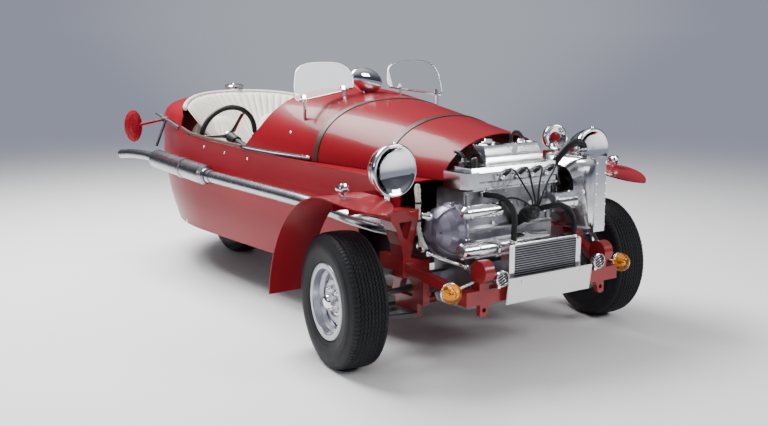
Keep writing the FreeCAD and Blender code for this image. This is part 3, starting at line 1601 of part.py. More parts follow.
def make_fan():
    """Crank pulley, shaft and a six bladed fan, turned about the engine's axis."""
    body = doc.addObject("PartDesign::Body", "fan_form")
    revolve(body, [
        ("0", "0"), ("0", "16"), ("30", "16"), ("30", "60"), ("36", "54"), ("44", "54"), ("50", "60"), ("50", "34"), ("60", "34"), ("60", "0"),
    ])
    blade = pad(body, "XY_Plane", [("20", "-20"), ("fan_radius", "-26"), ("fan_radius", "14"), ("20", "12")], "3")
    blade.Profile[0].AttachmentOffset = Placement(Vector(0, 0, worth("fan_hub_out")), Rotation())
    bind(blade.Profile[0], "AttachmentOffset.Base.z", "fan_hub_out")
    polar(body, blade, "fan_blades")
    locate(body, ("block_left + seat_clearance", "fan_back", "fan_height"), Rotation(Z_AXIS, X_AXIS))
    as_node("fan_and_pulley", joined("fan_and_pulley", body, bar("fan_nose", ("block_left + 58", "fan_back", "fan_height"), (1, 0, 0), "14", "10")))


def make_engine():
    make_block()
    make_head()
    make_rocker_cover()
    make_gearbox()
    make_clutch()
    make_electrics()
    make_fan()


def rectangle(x0, x1, y0, y1, z):
    corners = [Vector(x0, y0, z), Vector(x1, y0, z), Vector(x1, y1, z), Vector(x0, y1, z)]
    return Part.makePolygon(corners + corners[:1])


def duct_ring(x, half_y, half_z, middle_y, middle_z, power):
    """Closed outline in a plane across X, from a rounded rectangle to a circle."""
    points = []
    for step in range(32):
        turn = 2 * math.pi * step / 32
        c = math.cos(turn)
        s = math.sin(turn)
        y = middle_y + half_y * math.copysign(abs(c) ** (2 / power), c)
        z = middle_z + half_z * math.copysign(abs(s) ** (2 / power), s)
        points.append(Vector(x, y, z))
    curve = Part.BSplineCurve()
    curve.interpolate(points, PeriodicFlag=True)
    return Part.Wire([curve.toShape()])


def make_radiator():
    """Radiator block with its tank, fins and a sheet duct that narrows to the fan; gives back the top hose."""
    inner = size("radiator_inner")
    outer = size("radiator_outer")
    front = size("radiator_front")
    back = size("radiator_back")
    low = size("radiator_low")
    high = size("radiator_high")
    core = box((inner + 6, front + 8, low + 10), (outer - 4, back - 8, high - 10))
    tanks = [box((inner + 2, front, high - 26), (outer, back, high)), box((inner + 2, front, low), (outer, back, low + 24))]
    plates = [box((inner + 2, y, low), (outer, y + 9, high)) for y in (front, back - 9)]
    fins = []
    pitch = (back - front - 30) / 14
    for index in range(14):
        y = front + 15 + index * pitch
        fins.append(box((outer - 5, y, low + 20), (outer - 1, y + 0.45 * pitch, high - 22)))
    mount = box((outer - 1, -100, low), (outer + 5.7, -44, low + 40))
    neck = rod((355, -205, high - 1), (355, -205, high + 14), 17)
    cap = fused(rod((362, -90, high - 1), (362, -90, high + 10), 22), rod((362, -90, high + 9), (362, -90, high + 16), 27))
    fan_y = size("fan_back")
    fan_z = size("fan_height")
    middle_y = (front + back) / 2
    middle_z = (low + high) / 2
    reach = size("fan_radius") + size("working_clearance")

    def duct(grow, start, end):
        rings = [
            duct_ring(start, (back - front) / 2 - 4 + grow, (high - low) / 2 - 4 + grow, middle_y, middle_z, 9),
            duct_ring(inner - 22, (back - front) / 2 - 18 + grow, (high - low) / 2 - 16 + grow, middle_y, middle_z, 4),
            duct_ring(inner - 48, reach + 14 + grow, reach + 12 + grow, fan_y - 4, fan_z - 2, 2.4),
            duct_ring(end, reach + 3 + grow, reach + 3 + grow, fan_y, fan_z, 2),
        ]
        return Part.makeLoft(rings, True, False)

    sheet_duct = duct(0, inner + 3, inner - 84).cut(duct(-3, inner + 3.2, inner - 84.2))
    sheet_duct = sheet_duct.common(box((inner - 45, front - 50, low - 50), (inner + 3, back + 50, high + 50)))
    node("radiator", fused(core, *tanks, *plates, *fins, mount, neck, cap, sheet_duct))
    top = hose([(355, -205, high + 14.3), (355, -205, high + 38), (330, -202, high + 54), (292, -186, high + 40), (260, -166, high - 6), (240, -150, 706), (198.3, -150, 706)], 16)
    return top


def rectangle_x(y0, y1, z0, z1, x):
    corners = [Vector(x, y0, z0), Vector(x, y1, z0), Vector(x, y1, z1), Vector(x, y0, z1)]
    return Part.makePolygon(corners + corners[:1])


# Lamps, wings and trim

def make_lamps():
    """Headlamp bowls on their stems and the lenses inside their rims."""
    r = "lamp_radius"
    base = ("lamp_half", "lamp_front", "lamp_height")
    inner = [("14", r + " - 10"), ("46", r + " - 20"), ("86", r + " - 44"), ("lamp_depth - 4", "0")]
    bowl = lathe("headlamp_bowls", [
        ("0", r + " - 10"), ("-2", r + " - 4"), ("0", r), ("14", r), ("16", r + " - 4"), ("34", r + " - 8"), ("56", r + " - 16"), ("76", r + " - 27"),
        ("96", r + " - 43"), ("lamp_depth - 6", r + " - 62"), ("lamp_depth + 4", "12"), ("lamp_depth + 6", "0"),
    ] + inner[::-1], base, (0, 1, 0))
    stem = bar("lamp_stem", ("lamp_half", "lamp_front + 50", "tower_top"), (0, 0, 1), "14", "lamp_height - lamp_radius + 22 - tower_top")
    room = lathe("lamp_room", [("0", "0"), ("0", r + " - 10")] + inner, base, (0, 1, 0))
    stem = without("lamp_stem", stem, room)
    foot = lathe("lamp_foot", [("0", "0"), ("0", "17"), ("6", "17"), ("10", "14"), ("10", "0")], ("lamp_half", "lamp_front + 50", "tower_top"), (0, 0, 1))
    bolt = bar("lamp_clip", ("lamp_half", "lamp_front + 2", "lamp_height + lamp_radius - 2"), (0, 1, 0), "5", "14")
    as_node("headlamp_bowls", pair("headlamp_bowls", joined("headlamp_bowls", bowl, stem, foot, bolt)))
    edge = r + " - 10 - seat_clearance"
    lens = lathe("headlamp_lenses", [("-6", "0"), ("-4", r + " - 50"), ("2", edge), ("10", edge), ("6", r + " - 50"), ("5", "0")], base, (0, 1, 0))
    as_node("headlamp_lenses", pair("headlamp_lenses", lens))


def wing_profile(inset):
    """Side view of the wing's crown from its rear lower edge to its tip."""
    points = [(369, 217), (350, 326), (312, 425), (249, 520), (160, 597), (37, size("wing_top")), (-120, 643), (-267, 613)]
    return [(y, z) for y, z in points]


def wing_band(grow):
    points = [Vector(0, y, z) for y, z in wing_profile(0)]
    spline = Part.BSplineCurve()
    spline.interpolate(points)
    edge = spline.toShape()
    inner_points = []
    count = 24
    first = spline.FirstParameter
    last = spline.LastParameter
    for index in range(count + 1):
        t = first + (last - first) * index / count
        place = spline.value(t)
        along = Vector(*spline.tangent(t)[0])
        normal = Vector(0, -along.z, along.y)
        inner_points.append(place + normal * grow)
    inner = Part.BSplineCurve()
    inner.interpolate(inner_points)
    inner_edge = inner.toShape()
    sides = [Part.makeLine(points[-1], inner_points[-1]), Part.makeLine(inner_points[0], points[0])]
    return Part.Face(Part.Wire(Part.__sortEdges__([edge, sides[0], inner_edge, sides[1]])))


def wing_under():
    """Everything below the wing's outer surface."""
    points = [Vector(0, y, z) for y, z in wing_profile(0)]
    spline = Part.BSplineCurve()
    spline.interpolate(points)
    edge = spline.toShape()
    low = 100
    sides = [
        Part.makeLine(points[-1], Vector(0, points[-1].y, low)),
        Part.makeLine(Vector(0, points[-1].y, low), Vector(0, points[0].y, low)),
        Part.makeLine(Vector(0, points[0].y, low), points[0]),
    ]
    return Part.Face(Part.Wire(Part.__sortEdges__([edge] + sides))).extrude(Vector(1000, 0, 0))


def wing():
    band = wing_band(size("wing_sheet")).extrude(Vector(1000, 0, 0))
    inner = size("wing_inner")
    outer = size("wing_outer")
    middle = (inner + outer) / 2
    tip = -267
    edges = [
        Part.makeLine(Vector(inner, 420, 0), Vector(outer, 420, 0)),
        Part.makeLine(Vector(outer, 420, 0), Vector(outer, -60, 0)),
        Part.Arc(Vector(outer, -60, 0), Vector(outer - 28, -190, 0), Vector(middle - 10, tip, 0)).toShape(),
        Part.Arc(Vector(middle - 10, tip, 0), Vector(inner + 12, -210, 0), Vector(inner, -60, 0)).toShape(),
        Part.makeLine(Vector(inner, -60, 0), Vector(inner, 420, 0)),
    ]
    plan = Part.Face(Part.Wire(edges)).extrude(Vector(0, 0, 1000))
    blade = band.common(plan)
    return blade


def make_wings():
    blade = wing()
    under = wing_under()
    struts = []
    for y in (60, 170):
        strut = box((hull_half_at(y) + 0.4, y - 14, 560), (size("wing_inner") + 30, y - 10, 700))
        struts.append(strut.common(under).cut(hull_solid(-size("seat_clearance"))))
    shape = fused(blade, *struts)
    node("front_wings", both_sides(shape))


def make_small_lamps():
    """Chrome lamps on the wings, ball indicators on their arms and two horns."""
    torpedo = lathe("wing_lamp", [
        ("0", "0"), ("-3", "12"), ("0", "20"), ("3", "22"), ("9", "22"), ("22", "20"), ("38", "15"), ("52", "8"), ("60", "0"),
    ], ("side_lamp_half", "side_lamp_front", "side_lamp_height"), (0, 1, 0))
    foot = rod((704, -47, 600), (704, -47, 668), 9).cut(wing_under())
    foot.translate(Vector(0, 0, size("seat_clearance")))
    as_node("wing_lamps", pair("wing_lamps", joined("wing_lamp", torpedo, shaped("wing_lamp_foot", foot))))
    ball = doc.addObject("Part::Sphere", "indicator_ball")
    bind(ball, "Radius", "indicator_radius")
    locate(ball, ("indicator_half", "indicator_front", "indicator_height"))
    collar = lathe("indicator_collar", [("0", "0"), ("0", "16"), ("14", "22"), ("14", "0")], ("indicator_half - indicator_radius - 6", "indicator_front", "indicator_height"), (1, 0, 0))
    arm = sloped_bar((331.2, -356, 352), (412, -352, 326), 12)
    as_node("indicators", pair("indicators", joined("indicator", ball, collar, shaped("indicator_arm", arm))))
    horn = lathe("horn", [("0", "0"), ("0", "27"), ("2", "30"), ("7", "30"), ("9", "27"), ("24", "24"), ("30", "16"), ("36", "13"), ("36", "0")], ("horn_half", "horn_front", "horn_height"), (0, 1, 0))
    foot_plate = block("horn_foot", ("horn_half - 6", "horn_front + 20", "beam_high + seat_clearance"), ("12", "26", "4"))
    stand = block("horn_stand", ("horn_half - 6", "horn_front + 20", "beam_high + seat_clearance"), ("12", "6", "18"))
    as_node("horns", pair("horns", joined("horn", horn, foot_plate, stand)))


def make_screens():
    """Two leaning glass screens, rounded above and sloping along the scuttle below."""
    low_outer = size("screen_low_outer")
    low_inner = size("screen_low_inner")
    top = size("screen_top")
    inner = size("screen_inner")
    outer = size("screen_outer")
    y = size("screen_back")
    thick = size("screen_thick")
    middle = (inner + outer) / 2
    half = (outer - inner) / 2
    points = []
    for step in range(13):
        turn = math.pi * step / 12
        c = math.cos(turn)
        low = low_inner + (low_outer - low_inner) * (1 + c) / 2
        across = middle + half * math.copysign(abs(c) ** 0.62, c)
        points.append(Vector(across, y, low + 14 + (top - low - 14) * math.sin(turn) ** 0.62))
    crown = Part.BSplineCurve()
    crown.interpolate(points)
    base_outer = Vector(outer - 10, y, low_outer)
    base_inner = Vector(inner + 10, y, low_inner - 4)
    edges = [
        crown.toShape(),
        Part.makeLine(points[-1], base_inner),
        Part.makeLine(base_inner, base_outer),
        Part.makeLine(base_outer, points[0]),
    ]
    face = Part.Face(Part.Wire(Part.__sortEdges__(edges)))
    glass = face.extrude(Vector(0, thick, 0))
    glass.rotate(Vector(0, y, low_outer), X_AXIS, -size("screen_lean"))
    node("aero_screens", both_sides(glass))


def make_filler():
    """Hinged filler cap let into the deck behind the cockpit."""
    cap = lathe("filler_cap", [
        ("-40", "0"), ("-40", "44"), ("4", "44"), ("4", "50"), ("8", "52.5"), ("20", "52.5"), ("26", "48"), ("31", "34"), ("33", "14"), ("36", "12"), ("37", "0"),
    ], ("filler_side", "filler_back", "deck_height - 10"), (0, 0, 1))
    latch = block("filler_latch", ("filler_side - 9", "filler_back - 64", "deck_height + 2"), ("18", "24", "12"))
    deck = shaped("deck_below_filler", hull_solid(-size("seat_clearance")))
    as_node("filler_cap", without("filler_cap", joined("filler_cap", cap, latch), deck))


def make_exhaust():
    """Pipe from the manifold along the sill, then the silencer with its clamp and tail pipe."""
    side = -size("exhaust_side")
    high = size("exhaust_height")
    start = size("silencer_front")
    pipe = hose(
        [(-190, 36, 474), (-300, 38, 476), (-392, 42, 484), (-450, 84, 498), (-497, 180, 516), (-524, 320, 536), (side, 500, high - 2), (side, start + 10, high)],
        size("exhaust_radius"),
    )
    clamp = rod((side, start - 34, high - 0.4), (side, start - 8, high - 0.2), size("exhaust_radius") + 4)
    manifold = box((-210, size("block_back") + 10.3, 440), (-140, 64, 508))
    node("exhaust_pipe", fused(pipe, clamp, manifold))
    r = size("silencer_radius")
    span = size("silencer_back") - start
    band = 0.42 * span
    can = turned(
        [
            (0, 0), (0, 34), (24, 34), (30, r - 6), (36, r), (band - 15, r), (band - 14, r + 4), (band + 14, r + 4), (band + 15, r),
            (span - 20, r), (span - 8, r - 12), (span + 10, 30), (span + 10, 0),
        ],
        (side, start + 11.6, high), (0.016, 1, 0.03),
    )
    back = size("silencer_back")
    tail = hose(
        [(side + 10, back, high + 19), (side + 10, back + 120, high + 23), (side + 10, back + 310, high + 15), (side + 10, size("tail_pipe_back"), high - 4)],
        size("tail_pipe_radius"),
    )
    node("silencer", fused(can, tail))


def make_side_mirror():
    """Red mirror on its arm, and the bar and strut that carry it."""
    head = turned([(0, 0), (0, 76), (6, 82), (16, 82), (28, 66), (38, 36), (42, 0)], (0, 0, 0), (0, -1, 0))
    matrix = FreeCAD.Matrix()
    matrix.scale(0.58, 1.0, 1.0)
    head = head.transformGeometry(matrix)
    head.translate(Vector(-612, 2062, 735))
    arm = rod((-600, 2034, 738), (-462, 2022, 762), 9, 6)
    hull = hull_solid(-size("seat_clearance"))
    bar_line = rod((-450, 1846, 733), (-446, 2131, 788), 8)
    strut = rod((-512, 1996, 628), (-450, 2004, 764), 7)
    eye = rod((-464, 2022, 762), (-436, 2020, 766), 12)
    holder = fused(bar_line, strut, eye).cut(hull)
    silencer = rod((-531, 1900, 564), (-531, 2060, 569), size("silencer_radius") + 1)
    holder = holder.cut(silencer)
    node("mirror_bar", max(holder.Solids, key=lambda solid: solid.Volume))
    node("side_mirror", fused(head, arm).cut(rod((-464 - size("seat_clearance"), 2022, 762), (-430, 2019.6, 766.6), 12 + size("seat_clearance"))))


make_side_panels()
make_tail()
make_bonnet()
make_scuttle()
make_straps()
make_floor()
make_firewall()
make_seat_wall()
make_seats()
make_wheels()
make_steering_wheel()
make_subframe()
make_plate()
make_rubbers()
hoses = make_cooler()
make_engine()
hoses.append(make_radiator())
node("hoses", Part.makeCompound(hoses))
make_lamps()
make_wings()
make_small_lamps()
make_screens()
make_filler()
make_exhaust()
make_side_mirror()
make_dash()
make_arms()
make_shafts()
make_back_panel()
make_trim()
make_screen_brackets()
make_cables()

doc.recompute()
for item in doc.Objects:
    if "Invalid" in item.State or "Error" in item.State:
        raise RuntimeError("feature failed: " + item.Label)
os.makedirs("parts", exist_ok=True)
for piece in nodes:
    if piece.Shape.isNull() or not piece.Shape.isValid():
        print("BAD", piece.Label, piece.Shape.ShapeType, piece.Shape.isNull())
        continue
    bb = piece.Shape.BoundBox
    print("%-20s solids %d vol %.2f L  x %.0f..%.0f y %.0f..%.0f z %.0f..%.0f" % (piece.Label, len(piece.Shape.Solids), piece.Shape.Volume / 1e6, bb.XMin, bb.XMax, bb.YMin + size("frame_shift"), bb.YMax + size("frame_shift"), bb.ZMin, bb.ZMax))
    piece.Shape.exportStep("parts/" + piece.Label + ".step")
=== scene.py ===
"""Looks of the three wheeled car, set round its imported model.  Metres; -Y is the front and +X the car's left."""

import bmesh
import bpy
import numpy as np
from mathutils import Matrix


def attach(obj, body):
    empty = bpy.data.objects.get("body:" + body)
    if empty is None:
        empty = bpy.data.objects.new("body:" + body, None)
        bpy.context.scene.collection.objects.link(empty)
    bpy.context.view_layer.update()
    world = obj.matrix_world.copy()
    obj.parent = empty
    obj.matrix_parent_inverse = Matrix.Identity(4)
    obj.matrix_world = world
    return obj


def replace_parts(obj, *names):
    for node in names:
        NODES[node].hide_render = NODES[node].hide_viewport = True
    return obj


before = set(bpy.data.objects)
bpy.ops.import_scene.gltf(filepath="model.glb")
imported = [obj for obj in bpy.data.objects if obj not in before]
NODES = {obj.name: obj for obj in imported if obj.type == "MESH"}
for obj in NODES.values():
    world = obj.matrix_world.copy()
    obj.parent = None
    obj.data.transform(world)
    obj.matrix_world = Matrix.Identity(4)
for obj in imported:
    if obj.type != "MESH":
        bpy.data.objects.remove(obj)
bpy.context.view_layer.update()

SHIFT = 1094.3                          # mm from the front axle back to the frame's origin
TRACK_HALF = 663
KINGPIN_HALF = 618
PARKED = np.radians(9)                  # steering angle of the parked front wheels
TYRE_RADIUS = 256
REAR_AXLE = 2050
RIM_CORNER = (438, 1815)                # where the cockpit's round rear rim begins
RIM_CENTRE = 2127                       # where that rim crosses the middle line
WALL_FOOT = np.array((0, 1700, 424))    # sloping wall behind the seats
WALL_RISE = np.array((0, 361, 406))
SIDES = (("left", 1), ("right", -1))
UP, BACK, FORWARD = (0, 0, 1), (0, 1, 0), (0, -1, 0)


def place(points):
    """Axle-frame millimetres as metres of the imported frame: y loses the shift, and all is divided by 1000."""
    points = np.array(points, dtype=float)
    points[..., 1] -= SHIFT
    return points / 1000


def unit(v):
    """Vector of length one."""
    v = np.asarray(v, dtype=float)
    return v / np.linalg.norm(v)


def full_turn(count):
    """Angles once round, without the last one that meets the first."""
    return np.linspace(0, 2 * np.pi, count, endpoint=False)


# Camera

def new_object(name, data):
    """Object in the scene at the origin."""
    obj = bpy.data.objects.new(name, data)
    bpy.context.collection.objects.link(obj)
    return obj


def aimed(obj, right, up, back, where):
    """Turn and place a camera or a lamp by its own three directions."""
    rows = np.eye(4)
    rows[:3, 0], rows[:3, 1], rows[:3, 2], rows[:3, 3] = right, up, back, where
    obj.matrix_world = Matrix(rows.tolist())


def make_camera():
    """The photograph's fitted view."""
    data = bpy.data.cameras.new("camera")
    data.lens = 49.22
    data.sensor_width = 36
    data.clip_end = 200
    ahead = unit((0.5756, 0.7982, -0.1775))
    right = np.array((0.8113, -0.5846, 0.0018))
    right = unit(right - ahead * right.dot(ahead))
    camera = new_object("camera", data)
    aimed(camera, right, np.cross(right, ahead), -ahead, (-2.7454, -3.1392 - SHIFT / 1000, 1.2617))
    bpy.context.scene.camera = camera


make_camera()


# Shader helpers

def new_group(name, inputs, outputs):
    """Empty shader group with float or colour sockets; an input is (name, default)."""
    group = bpy.data.node_groups.new(name, "ShaderNodeTree")
    for label, value in inputs:
        kind = "NodeSocketColor" if isinstance(value, tuple) else "NodeSocketFloat"
        socket = group.interface.new_socket(label, in_out="INPUT", socket_type=kind)
        socket.default_value = value
    for label, kind in outputs:
        group.interface.new_socket(label, in_out="OUTPUT", socket_type=kind)
    return group, group.nodes.new("NodeGroupInput"), group.nodes.new("NodeGroupOutput")


def feed(tree, node, feeds):
    """Give each named input of a node a plain value, or link another socket to it."""
    for label, value in feeds.items():
        if isinstance(value, bpy.types.NodeSocket):
            tree.links.new(value, node.inputs[label])
        else:
            node.inputs[label].default_value = value


def shade(tree, kind, feeds, output=0, **settings):
    """New shader node with its settings and inputs; gives one of its output sockets."""
    node = tree.nodes.new("ShaderNode" + kind)
    for label, value in settings.items():
        setattr(node, label, value)
    feed(tree, node, feeds)
    return node.outputs[output]


def math_node(tree, operation, a, b):
    """One math node fed by sockets or numbers."""
    return shade(tree, "Math", {0: a, 1: b}, operation=operation)


def map_range(tree, value, low, high, curve="LINEAR"):
    """Share of the way that a value has gone from low to high."""
    feeds = {"From Min": low, "From Max": high, "Value": value}
    return shade(tree, "MapRange", feeds, "Result", interpolation_type=curve)


def mix_colours(tree, share, first, second):
    """Colour between two colours, each a socket or a plain one."""
    return shade(tree, "Mix", {"Factor": share, 6: first, 7: second}, 2, data_type="RGBA")


def noise(tree, coordinates, scale, detail):
    """Noise texture on given coordinates; the scale is a socket or a number."""
    return shade(tree, "TexNoise", {"Detail": detail, "Vector": coordinates, "Scale": scale}, "Fac")


def make_skin_group():
    """Fine surface grain: the roughness wanders between two values with the mean of a fine and a coarse noise, and the fine
    noise bumps the normal."""
    group, given, out = new_group(
        "skin",
        [("Scale", 60.0), ("Depth", 0.1), ("Low", 0.3), ("High", 0.5)],
        [("Roughness", "NodeSocketFloat"), ("Normal", "NodeSocketVector")],
    )
    scale, depth, low, high = (given.outputs[label] for label in ("Scale", "Depth", "Low", "High"))
    space = shade(group, "TexCoord", {}, "Object")
    fine = noise(group, space, scale, 6.0)
    coarse = noise(group, space, math_node(group, "MULTIPLY", scale, 0.11), 2.0)
    mixed = math_node(group, "ADD", math_node(group, "MULTIPLY", fine, 0.5), math_node(group, "MULTIPLY", coarse, 0.5))
    span = math_node(group, "SUBTRACT", high, low)
    level = math_node(group, "ADD", low, math_node(group, "MULTIPLY", mixed, span))
    bump = shade(group, "Bump", {"Distance": 0.001, "Strength": depth, "Height": fine}, "Normal")
    feed(group, out, {"Roughness": level, "Normal": bump})
    return group


def make_tone_group():
    """Colour variation: a second tone shows through where a slow noise is high."""
    group, given, out = new_group(
        "tone",
        [("Color", (0.5, 0.5, 0.5, 1.0)), ("Shade", (0.3, 0.3, 0.3, 1.0)), ("Scale", 6.0), ("Amount", 0.4)],
        [("Color", "NodeSocketColor")],
    )
    given = given.outputs
    spread = map_range(group, noise(group, shade(group, "TexCoord", {}, "Object"), given["Scale"], 5.0), 0.35, 0.7)
    share = math_node(group, "MULTIPLY", spread, given["Amount"])
    feed(group, out, {"Color": mix_colours(group, share, given["Color"], given["Shade"])})
    return group


SKIN = make_skin_group()
TONE = make_tone_group()


def new_material(name):
    """Material, its node tree and its Principled shader."""
    material = bpy.data.materials.new(name)
    material.use_nodes = True
    return material, material.node_tree, material.node_tree.nodes["Principled BSDF"]


def finish(name, colour, second, amount, tone_scale, grain, depth, rough, metal=0.0, **sockets):
    """Principled material with its colour from the tone group and its roughness and normal from the skin group."""
    material, tree, shader = new_material(name)
    tones = {"Color": (*colour, 1), "Shade": (*second, 1), "Scale": tone_scale, "Amount": amount}
    grains = {"Scale": grain, "Depth": depth, "Low": rough[0], "High": rough[1]}
    feed(tree, shader, {"Base Color": shade(tree, "Group", tones, node_tree=TONE), "Metallic": metal})
    roughness = shade(tree, "Group", grains, "Roughness", node_tree=SKIN)
    feed(tree, shader, {"Roughness": roughness, "Normal": roughness.node.outputs["Normal"]})
    feed(tree, shader, {label.replace("_", " "): value for label, value in sockets.items()})
    return material


def clear(name, colour, roughness, ior, weight=1.0):
    """Glass or clear plastic, plain on every socket."""
    material, tree, shader = new_material(name)
    feed(tree, shader, {"Base Color": (*colour, 1), "Roughness": roughness, "IOR": ior, "Transmission Weight": weight})
    return material


# Name, colour, second tone, its share and scale, the grain's scale and depth, lowest and highest roughness, metal.
RED = finish(
    "red_paint", (0.25, 0.009, 0.017), (0.2, 0.007, 0.013), 0.5, 2.0, 240, 0.01, (0.3, 0.34),
    Coat_Weight=0.18, Coat_Roughness=0.06, Coat_IOR=1.38, Specular_IOR_Level=0.1,
)
RED_INNER = finish("red_inner", (0.28, 0.010, 0.014), (0.2, 0.01, 0.012), 0.6, 5.0, 120, 0.06, (0.38, 0.55))
RED_FRAME = finish(
    "red_frame", (0.27, 0.009, 0.013), (0.15, 0.008, 0.010), 0.6, 9.0, 160, 0.08, (0.26, 0.42),
    Coat_Weight=0.35, Coat_Roughness=0.12, Specular_IOR_Level=0.3,
)
POLISHED = finish("polished_alloy", (0.86, 0.86, 0.88), (0.7, 0.71, 0.75), 0.5, 14.0, 90, 0.05, (0.1, 0.24), 1.0)
CAST = finish("cast_alloy", (0.74, 0.74, 0.76), (0.5, 0.5, 0.54), 0.6, 22.0, 320, 0.5, (0.2, 0.42), 1.0)
HOUSING = finish("satin_housing", (0.3, 0.28, 0.35), (0.2, 0.18, 0.24), 0.6, 9.0, 260, 0.35, (0.34, 0.5), 0.85)
CHROME = finish("chrome", (0.9, 0.9, 0.92), (0.84, 0.84, 0.87), 0.3, 8.0, 60, 0.01, (0.03, 0.08), 1.0)
# The wheel silver is darkened to stand for the shadow the rims sit in: painted shade.
SHADED_SILVER = finish(
    "wheel_silver_painted_shade", (0.36, 0.37, 0.42), (0.27, 0.28, 0.32), 0.5, 12.0, 300, 0.05, (0.24, 0.36), 0.85,
    Coat_Weight=0.4, Coat_Roughness=0.1,
)
STEEL = finish("dark_steel", (0.1, 0.1, 0.11), (0.05, 0.05, 0.055), 0.6, 14.0, 200, 0.2, (0.35, 0.55), 0.7)
PIPE = finish("exhaust_steel", (0.46, 0.46, 0.49), (0.28, 0.27, 0.29), 0.6, 5.0, 140, 0.1, (0.18, 0.34), 1.0)
FIN = finish("cooler_fin", (0.42, 0.42, 0.46), (0.3, 0.3, 0.33), 0.5, 20.0, 180, 0.1, (0.34, 0.48), 0.9)
DARK_CAST = finish("dark_cast", (0.34, 0.34, 0.37), (0.16, 0.16, 0.18), 0.7, 16.0, 300, 0.6, (0.22, 0.42), 1.0)
# Near-black dark red on the firewall, standing for the shade deep in the engine bay: painted shade.
SHADED_BAY_RED = finish("bay_painted_shade", (0.016, 0.006, 0.006), (0.03, 0.008, 0.008), 0.6, 7.0, 140, 0.1, (0.4, 0.55))
BLACK = finish(
    "black_plastic", (0.018, 0.018, 0.021), (0.03, 0.03, 0.034), 0.5, 20.0, 180, 0.15, (0.3, 0.5),
    Specular_IOR_Level=0.3,
)
RUBBER = finish(
    "hose_rubber", (0.008, 0.008, 0.010), (0.015, 0.015, 0.018), 0.5, 30.0, 200, 0.2, (0.38, 0.55),
    Specular_IOR_Level=0.25,
)
TYRE = finish(
    "tyre_rubber", (0.007, 0.007, 0.010), (0.012, 0.012, 0.016), 0.6, 12.0, 260, 0.3, (0.5, 0.7),
    Specular_IOR_Level=0.25,
)
LEATHER = finish("strap_leather", (0.055, 0.018, 0.009), (0.028, 0.009, 0.005), 0.7, 18.0, 480, 0.5, (0.34, 0.52))
TRIM = finish("edge_leather", (0.1, 0.03, 0.018), (0.05, 0.015, 0.01), 0.6, 20.0, 500, 0.5, (0.36, 0.52))
CREAM = finish("cream_hide", (0.7, 0.66, 0.57), (0.6, 0.55, 0.46), 0.5, 9.0, 620, 0.4, (0.42, 0.56), Sheen_Weight=0.1)
CARPET = finish(
    "floor_carpet", (0.05, 0.012, 0.012), (0.03, 0.008, 0.008), 0.7, 60.0, 900, 1.0, (0.8, 0.95),
    Sheen_Weight=0.3,
)
DASH = finish("dash_cloth", (0.03, 0.028, 0.028), (0.018, 0.017, 0.017), 0.6, 30.0, 700, 0.5, (0.5, 0.65))
PLATE = finish("white_plate", (0.9, 0.9, 0.89), (0.84, 0.84, 0.82), 0.4, 5.0, 400, 0.05, (0.3, 0.4))
WHITE = finish("cable_sleeve", (0.72, 0.7, 0.63), (0.5, 0.47, 0.4), 0.6, 40.0, 300, 0.3, (0.45, 0.6))
AMBER = clear("amber_lens", (0.93, 0.33, 0.02), 0.06, 1.35, 0.85)
GLASS = clear("screen_glass", (0.97, 0.99, 0.98), 0.0, 1.45)
LENS = clear("lamp_glass", (0.99, 0.99, 1.0), 0.0, 1.16)
MIRROR = finish("mirror_glass", (0.85, 0.87, 0.9), (0.8, 0.82, 0.86), 0.3, 5.0, 40, 0.0, (0.02, 0.05), 1.0)

# Nodes by finish; what isn't named is dark steel.
DRESSING = (
    (RED, "side_panel_left side_panel_right tail_shell bonnet scuttle front_wings side_mirror"),
    (RED_INNER, "seat_bulkhead"), (RED_FRAME, "front_subframe"), (SHADED_BAY_RED, "firewall"), (LEATHER, "bonnet_straps"),
    (TRIM, "cockpit_trim"), (CARPET, "floor_pan"), (DASH, "dash_panel"), (PLATE, "number_plate"), (WHITE, "cable_bundle"),
    (CREAM, "back_panel seat_cushions seat_squabs"), (RUBBER, "suspension_rubbers hoses"), (AMBER, "indicators"),
    (CHROME, "wing_lamps horns headlamp_bowls screen_fittings filler_cap"), (LENS, "headlamp_lenses"),
    (GLASS, "aero_screens"), (DARK_CAST, "engine_block gearbox_case"), (HOUSING, "clutch_housing"),
    (POLISHED, "cylinder_head rocker_cover oil_cooler starter_motor ignition_coil dynamo radiator"),
    (BLACK, "distributor steering_column steering_wheel"), (PIPE, "exhaust_pipe silencer"),
    (SHADED_SILVER, "rim_front_left rim_front_right rim_rear"), (TYRE, "tyre_front_left tyre_front_right tyre_rear"),
)
FINISHES = {label: material for material, labels in DRESSING for label in labels.split()}


def dress(obj, material):
    """Give every slot of an object one material."""
    if not obj.data.materials:
        obj.data.materials.append(material)
    for slot in obj.material_slots:
        slot.material = material


for label, obj in NODES.items():
    dress(obj, FINISHES.get(label, STEEL))


# Mesh helpers

def keep(name, vertices, faces, material, body="car", smooth=True):
    """Mesh object at the origin from points in metres, riding on a body."""
    mesh = bpy.data.meshes.new(name)
    mesh.from_pydata(np.asarray(vertices, dtype=float).tolist(), [], [tuple(int(i) for i in face) for face in faces])
    mesh.validate()
    mesh.polygons.foreach_set("use_smooth", np.full(len(mesh.polygons), smooth))
    obj = new_object(name, mesh)
    dress(obj, material)
    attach(obj, body)
    return obj


def grid_faces(rows, columns, wrap_rows, wrap_columns):
    """Quads over a grid of points, wrapped round where asked."""
    high, wide = np.arange(rows if wrap_rows else rows - 1), np.arange(columns if wrap_columns else columns - 1)
    i, j = (part.ravel() for part in np.meshgrid(high, wide, indexing="ij"))
    i2, j2 = (i + 1) % rows, (j + 1) % columns
    return np.stack([i * columns + j, i2 * columns + j, i2 * columns + j2, i * columns + j2], axis=1)


def outward(obj):
    """Merge doubles and turn all faces outwards."""
    work = bmesh.new()
    work.from_mesh(obj.data)
    bmesh.ops.remove_doubles(work, verts=work.verts, dist=1e-6)
    bmesh.ops.recalc_face_normals(work, faces=work.faces)
    work.to_mesh(obj.data)
    work.free()
    return obj


